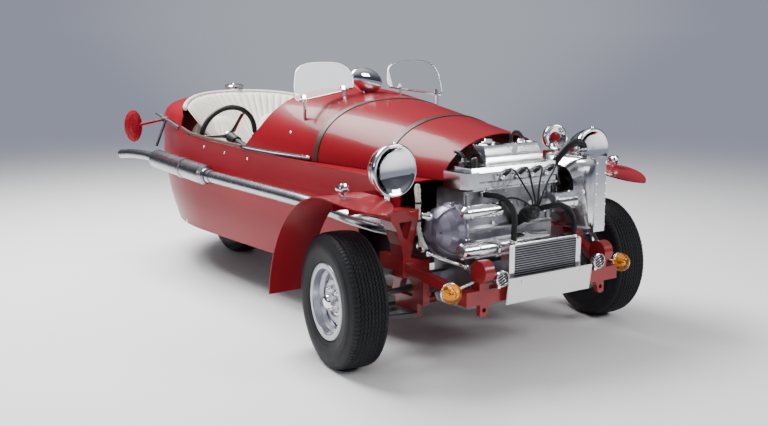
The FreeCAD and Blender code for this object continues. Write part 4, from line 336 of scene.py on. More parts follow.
def soften(obj, width):
    """Small rounded edge wherever two faces meet at an angle."""
    bevel = obj.modifiers.new("edge", "BEVEL")
    bevel.width = width
    bevel.segments = 2
    bevel.limit_method = "ANGLE"


def closed_grid(name, grid, material, body="car"):
    """One mesh from a grid that is closed both ways."""
    return outward(keep(name, grid.reshape(-1, 3), grid_faces(*grid.shape[:2], True, True), material, body))


def join_grids(name, grids, material, body="car", smooth=True):
    """One mesh from several tubes; each grid is (rings, points, 3), and a fan to its centre closes each end ring."""
    vertices, faces, base = [], [], 0
    for grid in grids:
        rings, points, _ = grid.shape
        vertices += [grid.reshape(-1, 3), grid[0].mean(axis=0)[None], grid[-1].mean(axis=0)[None]]
        k = np.arange(points)
        after = (k + 1) % points
        top = base + (rings - 1) * points
        centre = np.full(points, top + points)
        faces += (grid_faces(rings, points, False, True) + base).tolist()
        faces += np.stack([centre, base + k, base + after], axis=1).tolist()
        faces += np.stack([centre + 1, top + after, top + k], axis=1).tolist()
        base += rings * points + 2
    return outward(keep(name, np.concatenate(vertices), faces, material, body, smooth))


def basis(axis):
    """Two directions square to an axis."""
    axis = unit(axis)
    helper = np.array((0, 0, 1.0)) if abs(axis[2]) < 0.9 else np.array((1.0, 0, 0))
    side = unit(np.cross(helper, axis))
    return side, np.cross(axis, side)


def round_about(axis, angle):
    """Directions square to an axis, one for each angle."""
    side, over = basis(axis)
    return np.cos(angle)[:, None] * side + np.sin(angle)[:, None] * over


def turned(profile, base, axis, steps=32):
    """Lathe grid: ring k has radius r(k) at distance d(k) along the axis from the base; angle runs once round."""
    profile = np.asarray(profile, dtype=float)
    grid = profile[:, 1, None, None] * round_about(axis, full_turn(steps)) + profile[:, 0, None, None] * unit(axis)
    return place(np.asarray(base, dtype=float) + grid)


def swept(path, radius, steps=12, flat=1.0, up=(0, 0, 1)):
    """Tube grid: at each path point a ring of the given radius (number or array), squashed by flat along the up side."""
    path = np.asarray(path, dtype=float)
    along = np.gradient(path, axis=0)
    along /= np.linalg.norm(along, axis=1)[:, None]
    up = np.broadcast_to(np.asarray(up, dtype=float), along.shape)
    side = np.cross(along, up)
    side /= np.linalg.norm(side, axis=1)[:, None]
    over = np.cross(side, along)
    angle = full_turn(steps)
    radius = np.broadcast_to(radius, (len(path),))[:, None, None]
    ring = np.cos(angle)[None, :, None] * side[:, None, :] + flat * np.sin(angle)[None, :, None] * over[:, None, :]
    return place(path[:, None, :] + radius * ring)


def smooth_path(points, count=24):
    """Catmull-Rom curve through the points, as an array."""
    p = np.asarray(points, dtype=float)
    p = np.vstack([2 * p[0] - p[1], p, 2 * p[-1] - p[-2]])
    t = np.linspace(0, len(p) - 3, count)
    i = np.minimum(t.astype(int), len(p) - 4)
    u = (t - i)[:, None]
    a, b, c, d = p[i], p[i + 1], p[i + 2], p[i + 3]
    return 0.5 * (2 * b + (c - a) * u + (2 * a - 5 * b + 4 * c - d) * u ** 2 + (3 * b - a - 3 * c + d) * u ** 3)


def hexagon(base, axis, across, tall):
    """Bolt head: a lathe of six sides with a washer face and a small chamfer."""
    r = across / 2 / np.cos(np.pi / 6)
    heights = np.array((0, 0.12, 0.121, 0.85, 1)) * tall
    return turned(np.stack([heights, np.array((1.12, 1.12, 1, 1, 0.86)) * r], axis=1), base, axis, 6)


def lead(name, points, radius):
    """Held cord: a NURBS line of order 3 with the route's points as its control points."""
    curve = bpy.data.curves.new(name, "CURVE")
    curve.dimensions = "3D"
    spline = curve.splines.new("NURBS")
    spline.points.add(len(points) - 1)
    for point, where in zip(spline.points, place(points)):
        point.co = (*where, 1)
    spline.order_u = 3
    spline.use_endpoint_u = True
    curve.resolution_u = 8
    curve.bevel_depth = radius / 1000
    curve.bevel_resolution = 3
    curve.use_fill_caps = True
    obj = new_object(name, curve)
    dress(obj, RUBBER)
    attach(obj, "car")


# Wheels

ZIGZAG, NOTCH, SIPE = 3.1, 4.2, 2.2     # mm that the tread's ribs swing sideways, and the depth of its two kinds of cut


def tyre_section():
    """Outline of a tyre as (distance from the middle, radius, tread share, shoulder share)."""
    half = [
        (0, 256, 1, 0), (4.5, 256, 1, 0), (5.5, 249, 1, 0), (8.5, 249, 1, 0), (9.5, 256, 1, 0), (17, 255.9, 1, 0),
        (18, 248.8, 1, 0), (21, 248.8, 1, 0), (22, 255.7, 1, 0), (31, 255.3, 1, 0), (32, 248.3, 1, 0),
        (35.5, 248.2, 1, 0), (36.5, 254.8, 1, 0), (44, 254.1, 1, 1), (45, 247.6, 1, 0), (48, 247.4, 1, 0),
        (49, 253.3, 0.8, 1), (55, 252.2, 0.5, 1), (60, 250.6, 0.2, 1), (63.5, 248, 0, 1), (66, 245, 0, 1),
        (69, 240, 0, 0), (71, 232, 0, 0), (75, 222, 0, 0), (77.4, 215, 0, 0), (78.6, 214, 0, 0), (79.4, 210, 0, 0),
        (81.6, 202, 0, 0), (81.8, 192, 0, 0), (80, 180, 0, 0), (77.6, 170, 0, 0), (77.8, 166, 0, 0),
        (75.6, 162, 0, 0), (73.6, 154, 0, 0), (73.2, 150, 0, 0), (66.5, 146.5, 0, 0), (61.6, 145.3, 0, 0),
        (61.6, 127.4, 0, 0),
    ]
    half = np.array(half, dtype=float)
    far = half[1:][::-1].copy()
    far[:, 0] *= -1
    return np.vstack([far, half])


def make_tyre(name, node, centre, axis, body):
    """Tyre: radius and width follow the section; a triangle wave of the angle shifts the tread's columns sideways, which makes
    zigzag ribs, and every fourth column is cut in at the shoulders or across the ribs."""
    section = tyre_section()
    count = 368
    step = np.arange(count)[:, None] % 4
    wave = np.array((0.0, 1.0, 0.0, -1.0))[step]
    across, tall, tread, shoulder = section.T
    width = across + ZIGZAG * wave * tread
    radius = tall - NOTCH * (step == 1) * shoulder
    radius = radius - SIPE * (step == 3) * ((tread > 0.9) & (tall > 252))
    around = round_about(axis, np.arange(count) * 2 * np.pi / count)[:, None, :]
    inner = np.array([(61, 160), (50, 225), (0, 238), (-50, 225), (-61, 160)], dtype=float)
    width = np.concatenate([width, np.tile(inner[:, 0], (count, 1))], axis=1)
    radius = np.concatenate([radius, np.tile(inner[:, 1], (count, 1))], axis=1)
    grid = np.asarray(centre, dtype=float) + (radius[..., None] * around + width[..., None] * unit(axis))
    obj = closed_grid(name, place(grid), TYRE, body)
    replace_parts(obj, node)


def front_wheel(sign):
    """Centre and axle direction of a parked front wheel, turned about its kingpin."""
    c, s = np.cos(-PARKED), np.sin(-PARKED)
    turn = np.array([[c, -s, 0], [s, c, 0], [0, 0, 1]])
    kingpin = np.array((sign * KINGPIN_HALF, 0, 0))
    reach = np.array((sign * (TRACK_HALF - KINGPIN_HALF), 0, 0))
    return kingpin + turn @ reach + (0, 0, TYRE_RADIUS), turn @ np.array((sign, 0, 0.0))


WHEELS = [
    ("front_left", *front_wheel(1)),
    ("front_right", *front_wheel(-1)),
    ("rear", np.array((0, REAR_AXLE, TYRE_RADIUS), dtype=float), np.array((-1.0, 0, 0))),
]


def disc_height(radius):
    """Distance of the dished disc's outer face from the wheel's middle at a radius."""
    return np.interp(radius, (30, 42, 66, 78, 104, 109), (39, 28.6, 36.6, 36.6, 23, 23))


def make_rim(label, node, centre, axis, body):
    """Wheel rim: a lathed barrel with its flanges, and a dished disc as a polar grid with eight windows left out, which a
    modifier thickens."""
    barrel = [
        (-66, 146), (-72, 142), (-72, 124), (-42, 120), (-32, 107), (32, 107), (42, 120), (70, 122), (72, 124.5),
        (73, 139), (72, 143.5), (69, 146), (66, 146), (63.5, 142), (62, 130), (60, 127), (42, 124), (32, 111),
        (-32, 111), (-42, 124), (-62, 127), (-64, 142),
    ]
    ring = closed_grid("barrel_" + label, turned(barrel, centre, axis, 96), SHADED_SILVER, body)
    soften(ring, 0.0009)
    count, windows = 192, 8
    radii = np.array((15.5, 24, 30, 33, 36, 42, 48, 54, 60, 66, 70, 74, 78, 84, 90, 96, 102, 106, 108.5))
    around = round_about(axis, full_turn(count))
    points = radii[:, None, None] * around[None] + disc_height(radii)[:, None, None] * unit(axis)
    faces = grid_faces(len(radii), count, False, True)
    pitch = count / windows
    near = np.abs((faces[:, 0] % count + 0.5 + pitch / 2) % pitch - pitch / 2)
    window_half = np.zeros(len(radii))
    window_half[12:16] = 4, 5.2, 6, 6
    solid = faces[near >= window_half[faces[:, 0] // count]]
    disc = outward(keep("disc_" + label, place(np.asarray(centre) + points).reshape(-1, 3), solid, SHADED_SILVER, body))
    thick = disc.modifiers.new("thickness", "SOLIDIFY")
    thick.thickness = 0.005
    thick.offset = 0
    soften(disc, 0.0007)
    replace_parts(ring, node)
    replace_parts(disc, node)


def make_wheel_trim(label, centre, axis, body):
    """Four nuts, a tall domed cap on the hub, a drum behind the disc and a valve, for one wheel."""
    nuts = []
    for out in round_about(axis, np.radians((45, 135, 225, 315))):
        spot = centre + 51 * out + axis * 30
        nuts.append(turned([(0, 13), (2, 12.5), (3, 11)], spot, axis, 20))
        nuts.append(hexagon(spot + axis * 2, axis, 19, 13))
        nuts.append(turned([(14, 7.5), (18, 7.0), (22, 4.5), (23, 1.0)], spot, axis, 12))
    cap = [(-4, 33), (3, 33), (5, 30), (9, 29.5), (26, 28.5), (34, 25.5), (39, 19), (41.5, 9), (42, 1)]
    join_grids("wheel_nuts_" + label, nuts + [turned(cap, centre + axis * 36, axis, 48)], CHROME, body)
    join_grids("hub_sleeve_" + label, [turned([(-8, 33.5), (38, 33.5), (38.5, 31)], centre, axis, 48)], SHADED_SILVER, body)
    valve = centre + 112 * basis(axis)[0] + axis * 34
    join_grids("valve_" + label, [turned([(0, 4.2), (12, 4.2), (14, 3), (24, 3), (25, 2)], valve, axis, 10)], BLACK, body)


for label, centre, axis in WHEELS:
    body = "wheel_" + label
    make_tyre("tyre_tread_" + label, "tyre_" + label, centre, axis, body)
    make_rim(label, "rim_" + label, centre, axis, body)
    make_wheel_trim(label, centre, axis, body)


# Seats and trim

def closed_tube(name, path, radius, material, steps=8, body="car"):
    """Mesh of a closed tube: each ring's plane holds the mean direction to the loop's two neighbours."""
    path = np.asarray(path, dtype=float)
    along = np.roll(path, -1, axis=0) - np.roll(path, 1, axis=0)
    along /= np.linalg.norm(along, axis=1)[:, None]
    out = path - path.mean(axis=0)
    out -= along * np.sum(out * along, axis=1)[:, None]
    out /= np.linalg.norm(out, axis=1)[:, None]
    over = np.cross(along, out)
    angle = full_turn(steps)
    ring = np.cos(angle)[None, :, None] * out[:, None, :] + np.sin(angle)[None, :, None] * over[:, None, :]
    return closed_grid(name, place(path[:, None, :] + radius * ring), material, body)


def stuffed(name, top, low, edge, piping):
    """Pad from its upper and lower grids, with a piped edge."""
    rows, columns, _ = top.shape
    faces = grid_faces(rows, columns, False, False)
    vertices = np.concatenate([top.reshape(-1, 3), low.reshape(-1, 3)])
    pad = outward(keep(name, vertices, np.concatenate([faces, faces[:, ::-1] + rows * columns]), CREAM))
    closed_tube(name + "_piping", edge, piping, CREAM)
    return pad


def pillow(name, centre, wide, long, thick, pleats):
    """Stuffed pad: over a square of u and v the half thickness is thick times (1 - u^6)^.36 times (1 - v^6)^.36, less a sewn
    channel at each pleat line; the outline's corners are rounded by pulling u in with v^4 and v in with u^4."""
    count = 72
    u, v = np.meshgrid(np.linspace(-1, 1, count), np.linspace(-1, 1, count), indexing="ij")
    x = wide * u * (1 - 0.07 * v ** 4) * (1 - 0.012 * (1 - v ** 2))
    y = long * v * (1 - 0.07 * u ** 4) * (1 - 0.012 * (1 - u ** 2))
    rise = thick * (1 - np.abs(u) ** 6) ** 0.36 * (1 - np.abs(v) ** 6) ** 0.36
    inside = np.clip(1.1 * (0.86 - np.abs(v)) / 0.1, 0, 1)
    phase = (u * 0.5 + 0.5) * pleats
    channel = np.exp(-((phase - np.round(phase)) / 0.09) ** 2) * inside
    front = rise * (1 + 0.05 * np.cos(np.pi * u / 2) * np.cos(np.pi * v / 2))
    front = front - 0.11 * thick * channel * (rise > 0.4 * thick)
    flat = np.asarray(centre, dtype=float) + np.stack([x, y, np.zeros_like(x)], axis=-1)
    edge = np.concatenate([flat[:, 0], flat[-1, 1:], flat[-2::-1, -1], flat[0, -2:0:-1]])
    top, low = (place(flat + height[..., None] * np.array(UP)) for height in (front, -0.82 * rise))
    pad = stuffed(name, top, low, edge[::3], 4.2)
    return pad


def squab(name, middle, sign):
    """Arched pad on the sloping wall: half width is 186 times (1 - w^2.6)^.42, where w runs from 0 at the shoulder to 1 at the
    top; its crown is 44 times (1 - u^6)^.4 across and falls off at top and foot, less shallow upright channels."""
    along = unit(WALL_RISE)
    out = np.array((0, -along[2], along[1]))
    foot = WALL_FOOT + (middle, -2, 0) + along * 8 + out * 14
    half_width, tall, proud = 186, 428, 44
    v = np.linspace(0, 1, 60)[:, None]
    u = np.linspace(-1, 1, 72)[None, :]
    w = np.clip((v - 0.3) / 0.7, 0, 1)
    half = half_width * np.maximum(1 - w ** 2.6, 0.0) ** 0.42
    lift = tall * v * np.ones_like(u)
    across = half * u - sign * 30 * v ** 2
    soft = (1 - np.abs(u) ** 6) ** 0.4 * (1 - np.abs(2 * v - 1) ** 8) ** 0.4
    channel = np.exp(-((u * 2.5 - np.round(u * 2.5)) / 0.1) ** 2)
    channel = channel * (np.abs(u) < 0.9) * np.clip((0.9 - v) / 0.08, 0, 1)
    crown = proud * soft * (1 + 0.06 * np.cos(np.pi * u / 2)) - 3.4 * channel * (soft > 0.5)
    flat = foot + across[..., None] * np.array((1.0, 0, 0)) + lift[..., None] * along
    edge = np.concatenate([flat[:, 0], flat[-1, 1:-1], flat[::-1, -1], flat[0, -2:0:-1]])
    edge = edge[np.r_[True, np.linalg.norm(np.diff(edge, axis=0), axis=1) > 0.5]][::2]
    top, low = (place(flat + height[..., None] * out) for height in (crown, -8 * soft))
    pad = stuffed(name, top, low, edge, 4)
    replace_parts(pad, "seat_squabs")


def make_seats():
    """Two seats: a cushion and a leaning squab each."""
    for label, sign in SIDES:
        cushion = pillow("cushion_" + label, (sign * 214, 1482, 338), 196, 208, 50, 5)
        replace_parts(cushion, "seat_cushions")
        squab("squab_" + label, sign * 212, sign)


def rim_circle():
    """Centre and radius of the cockpit's round rear rim, from its corner and its middle."""
    half, corner = RIM_CORNER
    y = (RIM_CENTRE ** 2 - corner ** 2 - half ** 2) / (2 * (RIM_CENTRE - corner))
    return y, RIM_CENTRE - y


def make_back_trim():
    """Pleated back as a ruled surface: each line runs from the sloping wall up to the rim's inner edge, with a cusp at each
    sewn line and a slight belly between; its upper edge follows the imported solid, and a piped roll closes it."""
    source = NODES["back_panel"].data
    points = np.empty(len(source.vertices) * 3)
    source.vertices.foreach_get("co", points)
    points = points.reshape(-1, 3) * 1000
    points[:, 1] += SHIFT
    middle, radius = rim_circle()
    angle = np.arctan2(points[:, 0], points[:, 1] - middle)
    reached, trimmed = 1.19, 1.24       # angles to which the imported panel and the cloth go
    marks = np.linspace(-reached, reached, 41)
    half = marks[1] - marks[0]
    high = np.array([points[np.abs(angle - mark) <= half, 2].max() for mark in marks])
    turn = np.linspace(-trimmed, trimmed, 501)[:, None]
    top = np.interp(turn, marks, high) - 2
    share = np.linspace(0, 1, 20)[None, :]
    inner = radius - 24
    reach = inner * (0.4 + 0.6 * share)
    low_y = middle + 0.4 * inner * np.cos(turn)
    low = WALL_FOOT[2] + (low_y - WALL_FOOT[1]) * WALL_RISE[2] / WALL_RISE[1] + 10
    pleat = np.abs(np.sin(turn / (2 * reached) * np.pi * 26)) ** 0.5
    z = low + (top - low) * share
    x, y = reach * np.sin(turn), middle + reach * np.cos(turn)
    out = np.stack([-0.6 * np.sin(turn), -0.6 * np.cos(turn), 0.8 * np.ones_like(turn)], axis=-1)
    lift = 8 * pleat + 5 * np.sin(np.pi * share)
    lift = lift * np.clip((1 - share) / 0.08, 0.25, 1)
    flat = np.stack([x, y, z], axis=-1)
    loop = np.concatenate([flat + lift[..., None] * out, flat[:, ::-1] - 2 * out], axis=1)
    pad = join_grids("back_pleats", [place(loop)], CREAM)
    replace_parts(pad, "back_panel")
    turn, top = turn[::4, 0], top[::4, 0]
    path = np.stack([(radius - 13) * np.sin(turn), middle + (radius - 13) * np.cos(turn), top + 4], axis=1)
    roll = join_grids("rim_roll", [swept(path, 11, 14)], CREAM)
    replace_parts(roll, "back_panel")


make_seats()
make_back_trim()


# Steering wheel

def make_wheel_hoop():
    """Hoop as a torus, and three alloy spokes with three studs each."""
    centre, radius, lean = np.array((-275, 1640, 700.0)), 150, np.radians(14)
    axis = np.array((0, np.cos(lean), np.sin(lean)))
    path = centre + radius * round_about(axis, full_turn(96))
    hoop = closed_tube("hoop_leather", path, 13, BLACK, 16, "steering_wheel")
    spokes = []
    for out in round_about(axis, np.radians((0, 120, 240))):
        reach = np.linspace(18, 142, 9)
        path = centre + reach[:, None] * out - axis * (4 + 0.1 * (142 - reach))[:, None]
        width = np.interp(reach, (18, 80, 142), (15, 10, 12))
        spokes.append(swept(path, width, 12, 0.18, axis))
        for hole in (55, 82, 109):
            seat = centre + hole * out - axis * (2.5 + 0.1 * (142 - hole))
            spokes.append(turned([(0, 4.5), (1, 4.8), (2, 4.0)], seat, axis, 12))
    boss = turned([(-18, 22), (-6, 27), (2, 27), (6, 24), (9, 16), (10, 2)], centre, axis, 32)
    shaft = turned([(-85, 9), (-18, 9), (-16, 14)], centre, axis, 20)
    plate = join_grids("hoop_spokes", spokes + [boss, shaft], POLISHED, "steering_wheel")
    for piece in (hoop, plate):
        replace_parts(piece, "steering_wheel")


make_wheel_hoop()


# Engine dressing

PLUGS = [-98 + 76.5 * index for index in range(4)]     # x of the four spark plugs


def make_leads():
    """Four plug leads with their boots, the coil lead and the heater hose, held between their ends."""
    tower = np.array((-7, -300, 568.0))
    boots = []
    for index, (x, (dx, dz)) in enumerate(zip(PLUGS, ((-15, 6), (-5, 12), (5, 12), (15, 6)))):
        end = tower + (dx, 0, dz)
        gap = end[0] - x
        lead("plug_lead_%d" % (index + 1), [
            (x, -251, 722), (x, -272, 736), (x + 0.12 * gap, -292, 722), (x + 0.5 * gap, -300, 676),
            (x + 0.84 * gap, -316, 628), (end[0], -322, 592), (end[0], -300, end[2] - 2),
        ], 3.6)
        facing = (0, -0.85, 0.5)
        boot = [(-16, 6), (-14, 8.5), (6, 8.5), (14, 6), (16, 4.2), (20, 4.2)]
        boots.append(turned(boot, (x, -256, 716), facing, 16))
        boots.append(turned([(0, 9.5), (3, 9.5), (4, 8)], (x, -243, 708), facing, 16))
    lead("coil_lead", [
        (-150, -262, 604), (-136, -276, 622), (-100, -306, 628), (-52, -322, 602), (-20, -318, 578), (-12, -300, 566),
    ], 3.6)
    lead("heater_hose", [(-205, -132, 764), (-206, -112, 780), (-204, -84, 784), (-200, -50, 770), (-196, -20, 740)], 8)
    join_grids("plug_boots", boots, BLACK)


def make_block_gear():
    """Core plugs and ribs on the block's face, and the distributor's cap with its five towers."""
    plug = [(0, 21), (-4, 21), (-5, 19), (-2, 16), (-2, 2)]
    plugs = [turned(plug, (x, -207, 566), BACK, 32) for x in (-100, 70, 140)]
    ribs = [swept([(x, -210, 490), (x, -214, 530), (x, -210, 640)], 5, 10) for x in (-250, -140, -60, 40, 110, 175)]
    ribs.append(swept([(-258, -212, 500), (0, -212, 500), (180, -212, 500)], 5, 10))
    join_grids("block_ribs", plugs + ribs, CAST)
    cap = [turned([(4, 29), (0, 31), (-6, 30), (-20, 27), (-27, 21), (-29, 2)], (-7, -292, 560), (0, 1, -0.15), 36)]
    for angle in np.radians((30, 102, 174, 246, 318)):
        seat = (-7 + 15 * np.cos(angle), -314, 563 + 15 * np.sin(angle))
        cap.append(turned([(4, 7), (-8, 6.5), (-9, 5)], seat, (0, 1, -0.15), 14))
    join_grids("distributor_cap", cap, BLACK)


def make_bolts():
    """Hexagon heads along the engine's joints, and rivets down the radiator's cowl."""
    heads = []
    for x in np.linspace(-222, 190, 8):
        heads.append(hexagon((x, -217, 652.5), FORWARD, 9, 5))
    for x in np.linspace(-250, 172, 9):
        heads.append(hexagon((x, -208, 440), FORWARD, 10, 6))
    for angle in np.radians(np.arange(10, 370, 45)):
        heads.append(hexagon((-275, -130 + 106 * -np.sin(angle), 493 + 106 * np.cos(angle)), (-1, 0, 0), 9, 6))
    for z in np.linspace(470, 720, 7):
        for x in (391, 341):
            heads.append(turned([(0, 4), (1.5, 3.6), (2.4, 1.5)], (x, -298.5, z), FORWARD, 10))
    for x, z in ((-80, 610), (-30, 588), (128, 604), (150, 540), (-120, 520), (40, 505)):
        heads.append(hexagon((x, -200, z), FORWARD, 12, 7))
    join_grids("engine_bolts", heads, POLISHED, smooth=False)


def make_cover():
    """Rocker cover: its section runs over in (y, z) and is swept along x; where the height is above a V round the middle the
    front is set back, which makes the notch.  Four low fins, an oil cap, a filler disc and a breather stand on top."""
    v_half, v_depth, set_back, top_height = 26, 38, 15, 808
    section = np.array([
        (-202, 736), (-204, 738), (-202, 741), (-199, 743), (-196.5, 764), (-193, 769), (-188, 778), (-184, 786),
        (-180, 794), (-176.5, 801), (-173.5, 806), (-169, 808), (-164, 808.6), (-158, 808.8), (-150, 809),
        (-120, 809.5), (-92, 809), (-86, 806), (-68, 766), (-62, 743), (-60, 736),
    ], dtype=float)
    x = np.unique(np.concatenate([np.linspace(-155, 145, 61), np.linspace(-28, 28, 57)]))
    middle = (x[0] + x[-1]) / 2
    squeeze = 1 - 0.07 * (section[:, 1] - 733) / 76
    across = middle + (x[:, None] - middle) * squeeze[None, :]
    edge = top_height - v_depth * np.clip(1 - np.abs(across) / v_half, 0, 1)
    inside = (np.abs(across) < v_half) & (section[None, :, 1] > edge) & (section[None, :, 0] < -155)
    y = section[None, :, 0] + set_back * inside
    y = np.where(inside, np.minimum(y, -155), y)
    grid = np.stack([across, y, np.broadcast_to(section[None, :, 1], across.shape)], axis=-1)
    cover = join_grids("rocker_shell", [place(grid)], POLISHED)
    soften(cover, 0.0008)
    top = [swept([(rib, y, 809) for y in np.linspace(-168, -92, 8)], 3, 8) for rib in (-118, -84, 64, 110)]
    strip = swept([(x, -208, 735.5) for x in np.linspace(-158, 148, 8)], 3.4, 8, 0.7)
    bands = join_grids("rocker_ribs", top + [strip], POLISHED)
    cap = [(0, 34), (3, 36), (8, 36), (11, 31), (13, 20), (19, 19), (21, 15), (21.5, 3)]
    oil = join_grids("rocker_cap", [turned(cap, (-70, -110, 807), UP, 40)], CHROME)
    seal = join_grids("rocker_seal", [turned([(0, 44), (1, 46), (5, 46), (7, 42)], (-70, -110, 806), UP, 40)], BLACK)
    elbow = smooth_path([(30, -134, 806), (30, -134, 834), (40, -138, 848), (58, -146, 846), (72, -152, 826)], 24)
    collar = turned([(0, 11), (7, 11), (8, 9)], (30, -134, 807), UP, 20)
    pipe = join_grids("rocker_breather", [swept(elbow, 7, 14, 1.0, (0.2, 1, 0.1)), collar], BLACK)
    lid = turned([(0, 23), (6, 23), (7, 16), (12, 16), (13, 14)], (92, -122, 807), UP, 32)
    disc = join_grids("rocker_filler", [lid], CHROME)
    for piece in (cover, bands, oil, seal, pipe, disc):
        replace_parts(piece, "rocker_cover")


def brick(low, high):
    """Grid of a plain block between two corners, for join_grids."""
    (x0, y0, z0), (x1, y1, z1) = low, high
    ring = [(y0, z0), (y1, z0), (y1, z1), (y0, z1)]
    return place(np.array([[(x, y, z) for y, z in ring] for x in (x0, x1)], dtype=float))


def make_cooler():
    """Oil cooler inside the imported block: side tanks, two rails, rows of flat tubes and zigzag fins between them."""
    left, right, pitch = -158, 160, 8.8
    parts = [
        brick((-184, -372, 319), (left, -326, 466)), brick((right, -372, 319), (186, -326, 454)),
        brick((left, -371, 319), (right, -327, 327)), brick((left, -371, 462), (right, -327, 469)),
    ]
    tanks = join_grids("cooler_frame", parts, POLISHED, smooth=False)
    soften(tanks, 0.0025)
    tubes = [brick((left, -369, z), (right, -329, z + 2.4)) for z in np.arange(333, 460, pitch)]
    rows = join_grids("cooler_tubes", tubes, FIN, smooth=False)
    x = np.linspace(left, right, 319)
    wave = 3.1 * (2 * np.abs((x / 4) % 2 - 1) - 1)
    strips = []
    for z in np.arange(333, 451, pitch) + 5.6:
        line = np.stack([x, np.full_like(x, -366.0), z + wave], axis=1)
        strips.append(place(np.stack([line, line + (0, 34, 0), line + (0, 34, 0.5), line + (0, 0, 0.5)], axis=1)))
    core = join_grids("cooler_fins", strips, BLACK, smooth=False)
    ports = [turned([(0, 13), (1, 13), (13, 13)], spot, UP, 24) for spot in ((-144, -349, 464), (169, -349, 452))]
    necks = join_grids("cooler_ports", ports, POLISHED)
    for piece in (tanks, rows, core, necks):
        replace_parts(piece, "oil_cooler")


def make_clips():
    """Hose clips: a band round each hose end with its worm screw."""
    bands = []
    for spot, axis, radius in (
        ((-144, -349, 466), UP, 13.6), ((169, -349, 452), UP, 13.6), ((355, -205, 764), UP, 17.6),
        ((-170, -214, 632), BACK, 12.4), ((72, -214, 553), BACK, 12.4), ((212, -150, 706), (-1, 0, 0), 17.2),
    ):
        bands.append(turned([(0, radius - 1), (0.5, radius + 1), (9, radius + 1), (9.5, radius - 1)], spot, axis, 28))
        side, over = basis(axis)
        screw = np.asarray(spot, dtype=float) + side * (radius + 3) + unit(axis) * 4.5
        bands.append(turned([(-8, 3.2), (8, 3.2), (8.5, 4.2), (12, 4.2)], screw, over, 10))
    join_grids("hose_clips", bands, CHROME)


def make_side_gear():
    """Carburettor, its pot and linkage behind the head, the filter bowl on the radiator and the clutch rod."""
    pieces = [
        turned([(0, 30), (6, 34), (34, 34), (40, 28), (78, 25), (82, 30), (96, 30), (98, 10)], (-20, -36, 706), BACK, 28),
        turned([(0, 30), (4, 37), (30, 37), (36, 30), (62, 13), (74, 12), (78, 8)], (-20, 22, 716), UP, 28),
        turned([(0, 26), (4, 30), (40, 30), (46, 22)], (60, -36, 700), BACK, 24),
        turned([(0, 10), (0.5, 12), (60, 12), (62, 9)], (-96, -30, 716), (1, 0, 0), 16),
    ]
    join_grids("carburettor", pieces, CAST)
    facing = unit((-0.25, -1, 0.05))
    hub = np.array((366, -30, 799.0))
    bowl = [
        turned([
            (-34, 26), (-30, 38), (-20, 48), (-4, 53), (10, 54), (14, 53), (16, 47), (12, 43), (8, 20), (9, 2),
        ], hub, facing, 48),
        turned([(0, 20), (4, 22), (42, 15), (52, 13)], (366, -26, 760), UP, 24),
    ]
    join_grids("filter_bowl", bowl, CHROME)
    join_grids("filter_middle", [turned([(8, 24), (11, 23), (13, 19), (14, 3)], hub, facing, 32)], RED)
    rods = [
        swept([(-436, -210, 438), (-380, -250, 414), (-322, -290, 390)], 6, 12),
        turned([(-9, 5), (-5, 10), (5, 10), (9, 5)], (-436, -210, 438), UP, 16),
        turned([(-9, 5), (-5, 10), (5, 10), (9, 5)], (-322, -290, 390), UP, 16),
        turned([(0, 14), (2, 17), (22, 17), (26, 12), (46, 10), (48, 6)], (-374, -150, 560), (-1, 0, 0.2), 20),
        turned([(0, 18), (3, 22), (20, 22), (24, 14)], (-372, -104, 440), (-1, 0, 0), 20),
    ]
    join_grids("clutch_linkage", rods, POLISHED)
    block = [
        turned([(0, 18), (2, 21), (18, 21), (22, 12), (34, 10)], (-205, -132, 731), UP, 24),
        turned([(0, 11), (2, 13), (34, 13), (38, 8)], (-190, -176, 731), (-0.1, 0, 1), 20),
        turned([(0, 8), (1, 10), (34, 10), (36, 6)], (-196, -150, 744), (-1, -0.2, 0.1), 16),
    ]
    join_grids("water_valve", block, BLACK)


def make_sleeve():
    """White cable sleeve: three strands twisted round the bundle's route, a loose loop and two ties."""
    route = smooth_path([
        (-386, -84, 662), (-391, -92, 640), (-393, -96, 600), (-394, -98, 552), (-402, -112, 506), (-408, -140, 470),
        (-412, -168, 448),
    ], 60)
    turn = np.linspace(0, 9 * np.pi, 60)
    strands = []
    for shift in (0, 2 * np.pi / 3, 4 * np.pi / 3):
        offset = 5.5 * np.stack([np.cos(turn + shift), np.sin(turn + shift), np.zeros(60)], axis=1)
        strands.append(swept(route + offset, 4.2, 8, 1.0, (1, 0, 0)))
    loop = smooth_path([(-386, -84, 662), (-402, -100, 676), (-422, -112, 664), (-420, -116, 636), (-402, -104, 622)], 24)
    strands.append(swept(loop, 4, 8, 1.0, BACK))
    join_grids("cable_sleeve", strands, WHITE)
    tie = [(-4, 11.5), (-3, 12.5), (3, 12.5), (4, 11.5)]
    ties = [turned(tie, spot, (0, 0.1, 1), 20) for spot in ((-393, -96, 606), (-394, -99, 540))]
    join_grids("cable_ties", ties, BLACK)


make_leads()
make_block_gear()
make_bolts()
make_cover()
make_cooler()
make_clips()
make_side_gear()
make_sleeve()


# Lamps, horns and plate

